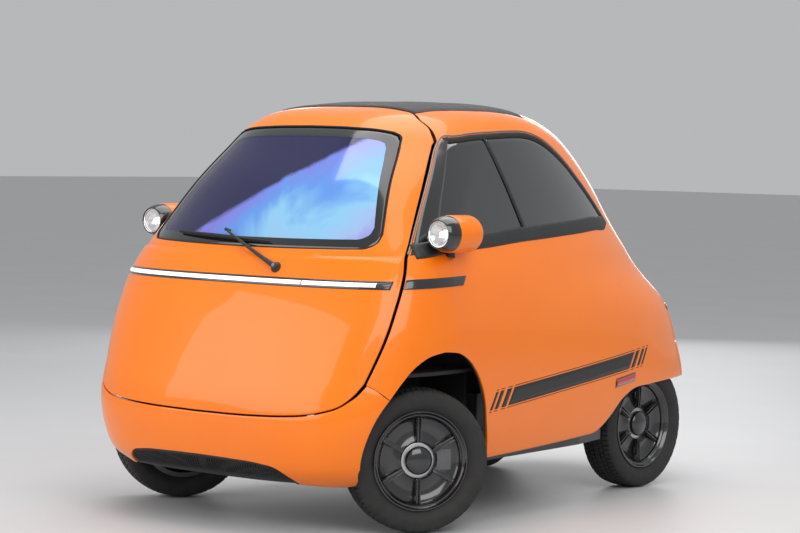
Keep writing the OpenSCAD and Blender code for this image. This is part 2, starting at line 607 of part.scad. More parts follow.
// The bumper is drawn between its upper edge, under the door, and its lower edge over the grille
grille_top = [[0, 255], [150, 253], [290, 246], [345, 236], [385, 205], [402, 178]];
module front_bumper() color(orange) {
    foot = evenly(concat(door_foot, [[side_x(-1087, seam_low), seam_low]]), 12);
    corner = evenly(across(bumper_end), 3);
    low = evenly(grille_top, 7);
    rail = evenly([[402, 178], [470, 173], [530, 174], [548, 178]], 5);
    tip = evenly([[548, 178], [580, 204], [607, 243]], 3);
    top_half = concat(foot, [for (i = [1:3]) corner[i]]);
    low_half = concat(low, [for (i = [1:5]) rail[i]], [for (i = [1:3]) tip[i]]);
    n = len(top_half);
    gaps = edges([[11, seam_gap / 2], [1, seam_gap / 2 + 3], [3, 1.2 * fixed_gap], [2 * n, 0],
        [3, 1.2 * fixed_gap], [1, seam_gap / 2 + 3], [11, seam_gap / 2]]);
    loop = inset(concat(top_half, reversed(low_half), [for (i = [1:n - 1]) [-low_half[i][0], low_half[i][1]]],
        [for (i = [n - 1:-1:1]) [-top_half[i][0], top_half[i][1]]]), gaps);
    total = len(loop);
    top = concat([for (i = [total - n + 1:total - 1]) loop[i]], [for (i = [0:n - 1]) loop[i]]);
    bottom = concat([for (i = [3 * n - 2:-1:2 * n]) loop[i]], [for (i = [2 * n - 1:-1:n]) loop[i]]);
    sheet(top, bottom, 5, 0, bumper_wall, function (p) on_front(p));
    // Stays that carry the bumper on the floor's cross member
    for (x = [-260, 260])
        stay([x, 300], [30, 22], bumper_wall - join, nose_front - seat_gap);
}

// A stay from the inner face of a front panel back to a level plane
module stay(at, half, depth, plane) {
    seat = [for (dz = [-half[1], half[1]]) [for (dx = [-half[0], half[0]])
        dug(function (p) on_front(p), at + [dx, dz], depth)]];
    shell(seat, [for (r = seat) [for (p = r) [p[0], plane, p[2]]]]);
}

module bumper_grille() color(black) {
    half = evenly(grille_top, 7);
    top = concat([for (i = [7:-1:1]) [-half[i][0], half[i][1]]], half);
    n = len(top);
    loop = inset(concat(top, reversed([for (p = top) [p[0] * 0.97, p[1] > 190 ? 175 : 171]])), fixed_gap + 2);
    sheet([for (i = [0:n - 1]) loop[i]], [for (i = [0:n - 1]) loop[2 * n - 1 - i]], 2, 8, 26, function (p) on_front(p));
}

module rear_panel() color(orange) {
    edge = skirt_corner[0] - fixed_gap / 2;
    xs = [for (i = [-8:8]) edge * i / 8];
    sheet([for (x = xs) [x, hatch_foot - seam_gap / 2]], [for (x = xs) [x, skirt_corner[1]]], 3,
        0, bumper_wall, function (p) on_rear(p));
}

module door_panel() color(orange)
    holed_panel(screen_opening, inset(door_edge, door_gaps(0)), inset(door_edge, door_gaps(edge_draft)),
        function (p) door_wall, 9, function (p) on_front(p));
module windscreen() color(glass) pane(inset(screen_opening, glass_gap), 7, function (p) on_front(p));
module hatch_panel() color(orange)
    holed_panel(back_opening, inset(hatch_edge, hatch_gaps(0)), inset(hatch_edge, hatch_gaps(edge_draft)),
        function (p) hatch_wall, 8, function (p) on_rear(p));
module rear_window() color(glass) pane(inset(back_opening, glass_gap), 6, function (p) on_rear(p));

// A strip that lies on the body along a line across the car
trim_thick = 5;
module strip(reach, z, high, steps, place) {
    xs = [for (i = [-steps:steps]) reach * i / steps];
    sheet([for (x = xs) [x, z + high / 2]], [for (x = xs) [x, z - high / 2]], 1,
        -2 * seat_gap - trim_thick, -2 * seat_gap, place);
}
front_bar_z = 860;
tail_bar_z = 706;
module front_light_bar() color("white") strip(636, front_bar_z, bar_height, 26, function (p) on_front(p));
module tail_light_bar() color("red") strip(396, tail_bar_z, bar_height, 12, function (p) on_rear(p));

// The wiper lies across the foot of the windscreen
wiper_pivot = [205, 906];
wiper_clip = [-95, 1020];
module ribbon(from, to, wide, high, thick, steps) {
    across = wide / 2 * turned(unit(to - from));
    a = [for (i = [0:steps]) lerp(from, to, i / steps) + across];
    b = [for (i = [0:steps]) lerp(from, to, i / steps) - across];
    sheet(a, b, 1, -high - thick, -high, function (p) on_front(p));
}
module wiper() color(black) {
    ribbon(wiper_pivot, wiper_clip, 16, 9, 8, 8);
    ribbon(wiper_pivot + [12, -6], wiper_pivot - [14, -6], 26, seat_gap, 9.5, 2);
    ribbon([-345, 1008], [130, 990], 12, glass_thick - glass_depth + seat_gap, 8, 12);
}

bar_rear = -930 * ky;
bar_z = 900;
module door_bar() color(dark) {
    translate([-430, bar_rear, bar_z * kz]) rotate([0, 90, 0]) cylinder(r = 17, h = 860);
    for (x = [-330, 330])
        stay([x, bar_z], [16, 14], door_wall + 2 * seat_gap, bar_rear);
}

plate_z = 632;
plate_y = 1233;
module plate_holder() color(black) {
    face = [for (z = [plate_z + 45, plate_z, plate_z - 45]) [for (x = [-80:40:80]) on_rear([x, z])]];
    stand = [for (r = face) [for (p = r) [p[0], plate_y * ky + join, p[2]]]];
    seat = [for (r = face) [for (p = r) p + [0, seat_gap, 0]]];
    shell(stand, seat);
    difference() {
        translate([-150, plate_y * ky, plate_z * kz - 57]) cube([300, 4, 114]);
        for (s = [-1, 1]) translate([s * plate_spacing / 2, plate_y * ky - join, plate_z * kz]) rotate([-90, 0, 0])
            cylinder(r = plate_hole, h = 6);
    }
}

// ---- Lamp pods ----
pod_place = -700;
pod_foot = [side_x(pod_place, 957) * kx, pod_place * ky, 957 * kz];
pod_centre = pod_foot + [30, 0, 80];
module at_pod() translate([pod_centre[0], pod_centre[1] - pod_length / 2, pod_centre[2]]) rotate([-90, 0, 0]) children();
module lamp_pod() {
    at_pod() difference() {
        rotate_extrude() polygon(concat([[0, 8], [lens_radius + 1, 8], [lens_radius + 1, 0], [pod_radius - 10, 0]],
            [for (a = [0:15:90]) [pod_radius - 10 + 10 * sin(a), 12 - 12 * cos(a)]],
            [for (a = [0:10:90]) [pod_radius * cos(a), pod_length - 55 + 55 * sin(a)]]));
    }
    // Short foot from the pod down to the shoulder
    aim = pod_foot - pod_centre;
    reach = norm(aim) - 12.7;
    translate(pod_centre) rotate([0, atan2(aim[0], aim[2]), 0]) cylinder(r = 13, h = reach);
}
module lamp_lens() at_pod() cylinder(r = lens_radius + 1 - seat_gap, h = 8 - seat_gap);
module left_lamp_pod() color(black) lamp_pod();
module right_lamp_pod() color(black) mirrored() lamp_pod();
module left_lamp_lens() color("white") lamp_lens();
module right_lamp_lens() color("white") mirrored() lamp_lens();

// ---- Cabin ----
seat_base = battery_top + seat_gap;
seat_front = -200;
module seat_cushion() color(dark)
    translate([-seat_width / 2, seat_front, seat_base]) rotate([90, 0, 90]) linear_extrude(seat_width)
        polygon([[20, 0], [seat_depth, 0], [seat_depth, seat_thick - 15], [40, seat_thick], [8, seat_thick - 18],
            [0, seat_thick / 2]]);

back_tilt = 14;
module seat_backrest() color(dark)
    translate([0, seat_front + seat_depth + seat_gap, seat_base + back_thick * sin(back_tilt)])
        rotate([-back_tilt, 0, 0]) translate([0, back_thick, 0])
        rotate([90, 0, 0]) linear_extrude(back_thick)
            polygon([[-seat_width / 2 + 20, 0], [seat_width / 2 - 20, 0], [seat_width / 2 - 60, 200],
                [seat_width / 2 - 150, back_height], [-seat_width / 2 + 150, back_height],
                [-seat_width / 2 + 60, 200]]);

wheel_centre = [driver_x, -520, 770];
shaft_radius = 10;
module at_column() translate(wheel_centre) rotate([-90 + column_tilt, 0, 0]) children();
module steering_column() color(dark) {
    at_column() {
        translate([0, 0, -column_length]) cylinder(r = 24, h = column_length - 30);
        translate([0, 0, -31]) cylinder(r = shaft_radius, h = 41);
        // Instrument display above the column
        translate([-75, -112, -118]) cube([150, 92, 24]);
        translate([-14, -30, -118]) cube([28, 20, 24]);
    }
    foot_y = wheel_centre[1] - (column_length - 30) * cos(column_tilt);
    foot_z = wheel_centre[2] - (column_length - 30) * sin(column_tilt);
    translate([driver_x - 22, foot_y - 22, floor_top + seat_gap]) cube([44, 44, foot_z - floor_top]);
}

module steering_wheel() color(black) at_column() {
    difference() {
        union() {
            translate([0, 0, -18]) cylinder(r = 32, h = 40);
            rotate_extrude($fn = 72) translate([wheel_radius, 10]) circle(r = 14, $fn = 24);
            for (a = [20, 160, 270]) rotate(a) translate([20, -13, 0]) cube([wheel_radius - 24, 26, 14]);
        }
        translate([0, 0, -19]) cylinder(r = shaft_radius + spindle_clearance, h = 32);
    }
}

module pedals() color(black) for (x = [driver_x - 90, driver_x]) {
    translate([x - 30, -960, floor_top + seat_gap]) cube([60, 60, 8]);
    translate([x - 8, -950, floor_top + seat_gap + 7]) rotate([18, 0, 0]) cube([16, 12, 120]);
    translate([x - 30, -993, floor_top + 112]) rotate([18, 0, 0]) cube([60, 12, 64]);
}

floor_pan();
battery_pack();
drive_motor();
rear_tub();
left_wheel_housing();
right_wheel_housing();
front_suspension();
rear_axle();
front_bumper();
bumper_grille();
left_side_panel();
right_side_panel();
left_side_windows();
right_side_windows();
roof_header();
fabric_roof();
rear_panel();
seat_cushion();
seat_backrest();
steering_column();
pedals();
left_lamp_pod();
right_lamp_pod();
left_lamp_lens();
right_lamp_lens();
door_panel();
windscreen();
front_light_bar();
wiper();
door_bar();
hatch_panel();
rear_window();
tail_light_bar();
plate_holder();
left_knuckle();
right_knuckle();
steering_wheel();
front_left_tyre();
front_left_rim();
front_right_tyre();
front_right_rim();
rear_left_tyre();
rear_left_rim();
rear_right_tyre();
rear_right_rim();
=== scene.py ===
import bisect
import math

import bmesh
import bpy
from mathutils import Matrix, Vector


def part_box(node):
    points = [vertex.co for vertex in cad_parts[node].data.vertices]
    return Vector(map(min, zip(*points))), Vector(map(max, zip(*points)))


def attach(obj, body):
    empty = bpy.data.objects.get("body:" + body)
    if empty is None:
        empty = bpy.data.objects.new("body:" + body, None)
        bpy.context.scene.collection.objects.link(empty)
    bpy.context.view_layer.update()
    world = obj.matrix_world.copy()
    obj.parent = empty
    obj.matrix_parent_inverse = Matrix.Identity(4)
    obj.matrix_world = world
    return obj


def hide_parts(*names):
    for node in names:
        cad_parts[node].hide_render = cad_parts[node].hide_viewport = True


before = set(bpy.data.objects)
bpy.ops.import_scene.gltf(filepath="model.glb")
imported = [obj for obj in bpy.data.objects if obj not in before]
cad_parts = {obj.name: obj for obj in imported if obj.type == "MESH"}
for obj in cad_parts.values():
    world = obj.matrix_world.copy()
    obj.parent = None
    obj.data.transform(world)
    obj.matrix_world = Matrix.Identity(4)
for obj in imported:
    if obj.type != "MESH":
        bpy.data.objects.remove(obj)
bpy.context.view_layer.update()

scene = bpy.context.scene

# The smooth bubble that every panel and pane lies on, in millimetres. Each ring is a level slice:
# height, half width, widest place, front, rear, front and rear roundness, narrowing at the rear
bubble = [
    (170, 610, -635, -1185, 1165, 3.2, 4.0, 0.26),
    (240, 675, -665, -1236, 1216, 3.5, 4.6, 0.28),
    (400, 714, -705, -1260, 1259, 3.4, 5.2, 0.30),
    (560, 731, -735, -1222, 1231, 3.0, 4.6, 0.30),
    (720, 729, -735, -1164, 1170, 2.9, 4.1, 0.30),
    (860, 707, -725, -1100, 1058, 2.85, 3.2, 0.30),
    (960, 670, -675, -1048, 974, 2.85, 3.0, 0.28),
    (1060, 624, -595, -982, 892, 3.0, 2.85, 0.26),
    (1200, 558, -465, -876, 777, 3.4, 2.75, 0.22),
    (1320, 496, -335, -766, 655, 3.7, 2.6, 0.18),
    (1400, 446, -235, -688, 528, 4.0, 2.5, 0.14),
    (1456, 372, -135, -590, 382, 4.0, 2.3, 0.10),
    (1490, 225, -75, -400, 196, 3.3, 2.0, 0.05),
    (1501, 0, -55, -55, -55, 2.5, 2.5, 0.0),
]
middle = Vector((0, 0, 0.675))


def mix(a, b, t):
    return tuple(p + (q - p) * t for p, q in zip(a, b))


def through(a, b, c, d, t):
    return (2 * b + (c - a) * t + (2 * a - 5 * b + 4 * c - d) * t * t + (3 * b - a - 3 * c + d) * t ** 3) / 2


def fineRings(steps=120):
    before = tuple(2 * p - q for p, q in zip(bubble[0], bubble[1]))
    after = tuple(2 * p - q for p, q in zip(bubble[-1][:5], bubble[-2])) + bubble[-2][5:]
    rows = [before] + bubble + [after]
    return [tuple(through(*(rows[i + k][c] for k in range(4)), s / steps) for c in range(8))
            for i in range(len(rows) - 3) for s in range(steps)] + [bubble[-1]]



rings = fineRings()
ringHeights = [r[0] for r in rings]


def ringAt(z):
    k = min(max(bisect.bisect(ringHeights, z), 1), len(rings) - 1)
    a, b = rings[k - 1], rings[k]
    return mix(a, b, (z - a[0]) / (b[0] - a[0]))


def roundOff(t, n):
    return max(1 - min(max(t, 0), 1) ** n, 0) ** (1 / n)


def sideX(y, z):
    s = ringAt(z)
    if y < s[2]:
        return s[1] * roundOff((s[2] - y) / (s[2] - s[3]), s[5])
    t = (y - s[2]) / (s[4] - s[2])
    return s[1] * (1 - s[7] * min(t, 1)) * roundOff(t, s[6])


def frontY(x, z):
    s = ringAt(z)
    return s[2] - (s[2] - s[3]) * roundOff(abs(x) / s[1], s[5])


def halving(low, high, inside, n=24):
    for i in range(n):
        half = (low + high) / 2
        low, high = (half, high) if inside(half) else (low, half)
    return (low + high) / 2


def rearY(x, z):
    s = ringAt(z)
    return s[2] + (s[4] - s[2]) * halving(0, 1, lambda t: s[1] * (1 - s[7] * t) * roundOff(t, s[6]) > abs(x))


def roofZ(x, y):
    return halving(1250, 1500.9, lambda z: sideX(y, z) > abs(x))


def onSide(y, z):
    return Vector((sideX(y, z), y, z)) / 1000


def onFront(x, z):
    return Vector((x, frontY(x, z), z)) / 1000


def onRear(x, z):
    return Vector((x, rearY(x, z), z)) / 1000


def onRoof(x, y):
    return Vector((x, y, roofZ(x, y))) / 1000


def lifted(place, p, height, step=3):
    # A point that stands height millimetres off the bubble, or below it where height is negative
    at = place(*p)
    if abs(height) < 1e-6:
        return at
    across = place(p[0] + step, p[1]) - place(p[0] - step, p[1])
    up = place(p[0], p[1] + step) - place(p[0], p[1] - step)
    n = across.cross(up).normalized()
    return at + n * (height / 1000 * (1 if n.dot(at - middle) > 0 else -1))


# Flat curves and outlines, which the panels are stretched between
def apart(p, q):
    return math.dist(p, q)


def heading(pts, i):
    def unit(p, q):
        d = max(apart(p, q), 1e-9)
        return tuple((b - a) / d for a, b in zip(p, q))
    if i == 0:
        return unit(pts[0], pts[1])
    if i == len(pts) - 1:
        return unit(pts[-2], pts[-1])
    d, e = apart(pts[i - 1], pts[i]), apart(pts[i], pts[i + 1])
    u, v = unit(pts[i - 1], pts[i]), unit(pts[i], pts[i + 1])
    return tuple((p * e + q * d) / (d + e) for p, q in zip(u, v))


def smooth(pts, steps=10):
    fine = []
    for i in range(len(pts) - 1):
        p, q, d = pts[i], pts[i + 1], apart(pts[i], pts[i + 1])
        m, n = heading(pts, i), heading(pts, i + 1)
        for s in range(steps):
            t = s / steps
            fine.append(tuple((2 * t - 3) * t * t * (a - b) + a + d * t * (t - 1) * ((t - 1) * e + t * f)
                              for a, b, e, f in zip(p, q, m, n)))
    return fine + [tuple(pts[-1])]


def evenly(pts, n, steps=10):
    fine = smooth(pts, steps)
    runs = [0]
    for p, q in zip(fine, fine[1:]):
        runs.append(runs[-1] + apart(p, q))
    out = []
    for i in range(n + 1):
        d = runs[-1] * i / n
        k = min(max(bisect.bisect(runs, d), 1), len(fine) - 1)
        out.append(mix(fine[k - 1], fine[k], (d - runs[k - 1]) / max(runs[k] - runs[k - 1], 1e-9)))
    return out


def outline(stretches, fine):
    loop = []
    for pts, n in stretches:
        loop += evenly(pts, n * fine)[:-1]
    return loop


def mirroredLoop(half):
    return half + [(-p[0], p[1]) for p in reversed(half[1:-1])]


def inset(loop, d):
    # A closed outline moved inwards by d, which may differ from edge to edge
    n = len(loop)
    area = sum(loop[i][0] * loop[(i + 1) % n][1] - loop[(i + 1) % n][0] * loop[i][1] for i in range(n))
    side = 1 if area > 0 else -1
    out = []
    for i in range(n):
        a, p, b = loop[i - 1], loop[i], loop[(i + 1) % n]
        u = (p[0] - a[0], p[1] - a[1])
        v = (b[0] - p[0], b[1] - p[1])
        lu, lv = max(math.hypot(*u), 1e-9), max(math.hypot(*v), 1e-9)
        u, v = (-u[1] / lu, u[0] / lu), (-v[1] / lv, v[0] / lv)
        c = u[0] * v[0] + u[1] * v[1]
        e = d[i - 1] if isinstance(d, list) else d
        f = d[i] if isinstance(d, list) else d
        k = max(1 - c * c, 0.3)
        if c > 0.9:
            w = ((u[0] + v[0]) * (e + f) / 4, (u[1] + v[1]) * (e + f) / 4)
        else:
            w = ((u[0] * (e - f * c) + v[0] * (f - e * c)) / k,
                 (u[1] * (e - f * c) + v[1] * (f - e * c)) / k)
        out.append((p[0] + side * w[0], p[1] + side * w[1]))
    return out


def edgeList(stretches, fine):
    return [d for n, d in stretches for i in range(n * fine)]


# Meshes
def bentGrid(cols, rows, where):
    # A flat grid bent so that the point in column i, a share v of the way up, lies at where(i, v)
    bm = bmesh.new()
    bmesh.ops.create_grid(bm, x_segments=cols, y_segments=rows, size=0.5)
    for v in bm.verts:
        v.co = where(round((v.co.x + 0.5) * cols), round((v.co.y + 0.5) * rows) / rows)
    bmesh.ops.remove_doubles(bm, verts=bm.verts, dist=1e-5)
    return bm


def outwards(bm):
    # A bent grid's faces all turn one way, so they are only turned over together
    bm.normal_update()
    way = sum((f.calc_center_median() - middle).dot(f.normal) * f.calc_area() for f in bm.faces)
    if way < 0:
        bmesh.ops.reverse_faces(bm, faces=bm.faces)
    return bm


def ringGrid(a, b, rows, place, height=lambda p, v: 0, edge=0):
    # A ring of panel between two closed outlines, with its borders turned in by edge
    n = len(a)
    close = [0, 0.003, 0.009, 0.02]

    def where(i, v):
        k = round(v * rows)
        if edge and k < 4:
            v = close[k]
        elif edge and k > rows - 4:
            v = 1 - close[rows - k]
        elif edge:
            v = 0.02 + 0.96 * (k - 3) / (rows - 6)
        p = mix(a[i % n], b[i % n], v)
        fall = min(v, 1 - v)
        return lifted(place, p, height(p, v) - edge * max(1 - fall / 0.009, 0) ** 2)
    return outwards(bentGrid(n, rows, where))


def walledRing(a, b, rows, place, wall, height=lambda p, v: 0, edge=0):
    # A ring of panel with its lining and its two edges
    outer = ringGrid(a, b, rows, place, height, edge)
    lining = ringGrid(a, b, max(rows // 3, 6), place, lambda p, v: -wall)
    for face in lining.faces:
        face.material_index = 1

    def rim(loop, end):
        def where(i, v):
            p = loop[i % len(loop)]
            return lifted(place, p, (height(p, end) - edge) * (1 - v) - wall * v)
        return bentGrid(len(loop), 1, where)
    bm = join(outer, lining, rim(a, 0), rim(b, 1))
    bmesh.ops.remove_doubles(bm, verts=bm.verts, dist=2e-5)
    bmesh.ops.recalc_face_normals(bm, faces=bm.faces)
    return bm


def bandGrid(a, b, rows, place, height=lambda p, v: 0):
    # A band of panel between two open lines
    def where(i, v):
        p = mix(a[i], b[i], v)
        return lifted(place, p, height(p, v))
    return outwards(bentGrid(len(a) - 1, rows, where))


def join(bm, *others):
    for other in others:
        spare = bpy.data.meshes.new("spare")
        other.to_mesh(spare)
        other.free()
        bm.from_mesh(spare)
        bpy.data.meshes.remove(spare)
    return bm


def flipped(bm):
    # The same shape on the other side of the car
    copy = bm.copy()
    bmesh.ops.scale(copy, vec=(-1, 1, 1), verts=copy.verts)
    bmesh.ops.reverse_faces(copy, faces=copy.faces)
    return copy


def moved(bm, matrix):
    bmesh.ops.transform(bm, matrix=matrix, verts=bm.verts)
    return bm


def meshOf(name, bm):
    mesh = bpy.data.meshes.new(name)
    bm.to_mesh(mesh)
    bm.free()
    return mesh


def inScene(name, data):
    obj = bpy.data.objects.new(name, data)
    scene.collection.objects.link(obj)
    return obj


def piece(name, bm, finish, body, stands=(), slot=None, sharp=38, wall=0, inner=0, soft=0):
    mesh = meshOf(name, bm)
    for material in finish if isinstance(finish, list) else [finish]:
        mesh.materials.append(material)
    mesh.polygons.foreach_set("use_smooth", [True] * len(mesh.polygons))
    mesh.set_sharp_from_angle(angle=math.radians(sharp))
    obj = inScene(name, mesh)
    if wall:
        m = obj.modifiers.new("wall", "SOLIDIFY")
        m.thickness, m.offset, m.use_rim = wall / 1000, -1, True
        m.material_offset = inner
        m.solidify_mode, m.nonmanifold_thickness_mode = "NON_MANIFOLD", "FIXED"
    if soft:
        m = obj.modifiers.new("soft edges", "BEVEL")
        m.width, m.segments, m.limit_method = soft / 1000, 2, "ANGLE"
        m.angle_limit = math.radians(sharp)
        m.profile = 0.5
    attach(obj, body)
    if stands:
        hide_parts(*stands)
    return obj


def bothSides(name, bm, finish, slot, stands=None, **look):
    # The shape on the left, and its mirror image on the right
    for side, shape in (("left_", bm.copy()), ("right_", flipped(bm))):
        piece(side + name, shape, finish, "root", (side + stands,) if stands else (), slot, **look)
    bm.free()


def strip(low, high, cols, rows, height):
    # A band along the car's side between two smooth lines
    return bandGrid(evenly(low, cols), evenly(high, cols), rows, onSide, height)


def hump(v, power=1):
    return math.sin(math.pi * v) ** power


def lathe(profile, steps):
    # A profile of places along the axle and radii, in millimetres, spun round the X axis
    bm = bmesh.new()
    verts = [bm.verts.new((a / 1000, 0, r / 1000)) for a, r in profile]
    edges = [bm.edges.new(pair) for pair in zip(verts, verts[1:])]
    bmesh.ops.spin(bm, geom=verts + edges, cent=(0, 0, 0), axis=(1, 0, 0), angle=math.tau, steps=steps,
                   use_merge=True, dvec=(0, 0, 0))
    bmesh.ops.remove_doubles(bm, verts=bm.verts, dist=1e-6)
    bmesh.ops.recalc_face_normals(bm, faces=bm.faces)
    return bm


def block(size, edge, segments=1):
    # A box with rounded edges, in millimetres
    bm = bmesh.new()
    bmesh.ops.create_cube(bm, size=1)
    bmesh.ops.scale(bm, vec=[s / 1000 for s in size], verts=bm.verts)
    bmesh.ops.bevel(bm, geom=bm.edges[:] + bm.verts[:], offset=edge / 1000, offset_type="OFFSET",
                    segments=segments, profile=0.5, affect="EDGES", material=-1, clamp_overlap=True)
    return bm


def rod(points, radius, sides=12, taper=lambda t: 1):
    # A round bar along a line of points, given in metres, with its ends closed
    pts = [Vector(p) for p in points]
    bm = bmesh.new()
    ring = bmesh.ops.create_circle(bm, segments=sides, radius=1, cap_ends=True)["verts"]
    up = Vector((0, 0, 1))
    frames = []
    for i, p in enumerate(pts):
        way = (pts[min(i + 1, len(pts) - 1)] - pts[max(i - 1, 0)]).normalized()
        side = way.cross(up if abs(way.z) < 0.9 else Vector((1, 0, 0))).normalized()
        frames.append((p, side, side.cross(way).normalized()))
    shape = [(v.co.x, v.co.y) for v in ring]

    def seat(verts, k):
        p, side, top = frames[k]
        r = radius / 1000 * taper(k / (len(pts) - 1))
        for v, (a, b) in zip(verts, shape):
            v.co = p + side * a * r + top * b * r
    seat(ring, 0)
    face = bm.faces[:]
    for k in range(1, len(pts)):
        made = bmesh.ops.extrude_face_region(bm, geom=face)
        verts = [v for v in made["geom"] if isinstance(v, bmesh.types.BMVert)]
        face = [f for f in made["geom"] if isinstance(f, bmesh.types.BMFace)]
        order = {tuple(round(c, 7) for c in v.co): v for v in verts}
        verts = [order[tuple(round(c, 7) for c in q.co)] for q in ring]
        seat(verts, k)
        ring = verts
    bmesh.ops.recalc_face_normals(bm, faces=bm.faces)
    return bm


# Materials
class Wire:
    # The end of a link, which sums as a number does
    def __init__(self, finish, socket):
        self.finish, self.socket = finish, socket

    def maths(self, operation, *values, clamp=False):
        return self.finish.node("ShaderNodeMath", {"operation": operation, "use_clamp": clamp}, *values)

    def __add__(self, other):
        return self.maths("ADD", self, other)

    def __radd__(self, other):
        return self.maths("ADD", other, self)

    def __sub__(self, other):
        return self.maths("SUBTRACT", self, other)

    def __mul__(self, other):
        return self.maths("MULTIPLY", self, other)

    def __gt__(self, other):
        return self.maths("GREATER_THAN", self, other)


class Finish:
    def __init__(self, name):
        self.material = bpy.data.materials.new(name)
        self.material.use_nodes = True
        self.tree = self.material.node_tree
        self.tree.nodes.clear()
        self.out = self.tree.nodes.new("ShaderNodeOutputMaterial")

    def node(self, kind, settings=None, *values, out=0, **sockets):
        made = self.tree.nodes.new(kind)
        for key, value in (settings or {}).items():
            if key == "stops":
                ramp = made.color_ramp.elements
                while len(ramp) < len(value):
                    ramp.new(0.5)
                for stop, (at, colour) in zip(ramp, value):
                    stop.position, stop.color = at, (*colour, 1)
            else:
                setattr(made, key, value)
        for key, value in list(enumerate(values)) + [(k.replace("_", " "), v) for k, v in sockets.items()]:
            if value is None:
                continue
            if isinstance(value, Wire):
                self.tree.links.new(value.socket, made.inputs[key])
            elif made.inputs[key].type == "RGBA" and len(value) == 3:
                made.inputs[key].default_value = (*value, 1)
            else:
                made.inputs[key].default_value = value
        return Wire(self, made.outputs[out])

    def place(self, scale=None):
        at = self.node("ShaderNodeTexCoord", out="Object")
        return self.node("ShaderNodeMapping", None, at, None, None, scale) if scale else at

    def axes(self):
        split = self.node("ShaderNodeSeparateXYZ", None, self.place()).socket.node
        return [Wire(self, end) for end in split.outputs]

    def noise(self, scale, detail=3, rough=0.5, at=None, distortion=0):
        return self.node("ShaderNodeTexNoise", None, at or self.place(), Scale=scale, Detail=detail,
                         Roughness=rough, Distortion=distortion)

    def tints(self, factor, *stops):
        return self.node("ShaderNodeValToRGB", {"stops": list(stops)}, factor)

    def between(self, factor, a, b):
        return self.node("ShaderNodeMix", {"data_type": "RGBA"}, factor, None, None, None, None, None, a, b,
                         out=2)

    def bump(self, height, strength, distance):
        return self.node("ShaderNodeBump", None, Height=height, Strength=strength, Distance=distance)

    def surface(self, **sockets):
        return self.node("ShaderNodeBsdfPrincipled", None, **sockets)

    def done(self, shader):
        self.tree.links.new(shader.socket, self.out.inputs["Surface"])
        return self.material


def orangePaint():
    f = Finish("orange paint")
    dust = f.noise(14, 4) * nearGround(f.axes()[2], 0.46)
    colour = f.between(f.noise(2.3, 2), (1.0, 0.222, 0.0), (0.94, 0.185, 0.0))
    colour = f.between(dust * 0.12, colour, (0.5, 0.17, 0.03))
    return f.done(f.surface(Base_Color=colour, Roughness=0.3 + f.noise(60, 3) * 0.04 + dust * 0.08,
                            Coat_Weight=0.5, Coat_Roughness=0.03, Specular_IOR_Level=0.3,
                            Normal=f.bump(f.noise(420, 1), 0.02, 0.0004)))


def nearGround(z, top):
    # 1 at the ground, falling to 0 at the height top
    return z.maths("MULTIPLY", z.maths("SUBTRACT", top, z), 1 / top, clamp=True)


def plastic(name, colour, rough=0.5, grain=700, depth=0.12, coat=0.0):
    f = Finish(name)
    cloud = f.noise(9, 4)
    tint = f.between(cloud, colour, tuple(c * 1.5 + 0.004 for c in colour))
    return f.done(f.surface(Base_Color=tint, Roughness=rough + f.noise(35, 3) * 0.12, Coat_Weight=coat,
                            Coat_Roughness=0.06, Normal=f.bump(f.noise(grain, 2), depth, 0.0006)))


def metal(name, colour, rough=0.3, grain=(40, 900, 900), depth=0.08):
    f = Finish(name)
    brushed = f.noise(1, 3, at=f.place(scale=grain))
    tint = f.between(f.noise(12, 3), colour, tuple(c * 0.8 for c in colour))
    return f.done(f.surface(Base_Color=tint, Metallic=1.0, Roughness=rough + brushed * 0.15,
                            Normal=f.bump(brushed, depth, 0.0004)))


def tyreRubber():
    f = Finish("tyre rubber")
    dust = f.noise(26, 5)
    tint = f.between(dust, (0.012, 0.012, 0.0125), (0.04, 0.038, 0.036))
    return f.done(f.surface(Base_Color=tint, Roughness=0.62 + dust * 0.2, Specular_IOR_Level=0.4,
                            Normal=f.bump(f.noise(520, 3), 0.25, 0.0006)))


def weave(name, colour, other, count, rough=0.85, sheen=0.3):
    f = Finish(name)
    at = f.place()
    lines = [f.node("ShaderNodeTexWave", {"wave_type": "BANDS", "bands_direction": d}, at,
                    Scale=count / 6.28, Distortion=0.6, Detail=1.0, out="Fac") for d in ("X", "Y")]
    cross = lines[0].maths("MAXIMUM", *lines)
    tint = f.between(cross * 0.7 + f.noise(18, 4) * 0.3, colour, other)
    return f.done(f.surface(Base_Color=tint, Roughness=rough, Sheen_Weight=sheen, Specular_IOR_Level=0.2,
                            Normal=f.bump(cross, 0.5, 0.0008)))


def tintedGlass(name, colour, rough, alpha):
    f = Finish(name)
    smear = f.noise(5, 5)
    tint = f.between(smear, colour, tuple(c * 1.25 + 0.002 for c in colour))
    return f.done(f.surface(Base_Color=tint, Roughness=0.02 + smear * rough, Alpha=alpha,
                            Specular_IOR_Level=0.6, Coat_Weight=1.0, Coat_Roughness=0.02))


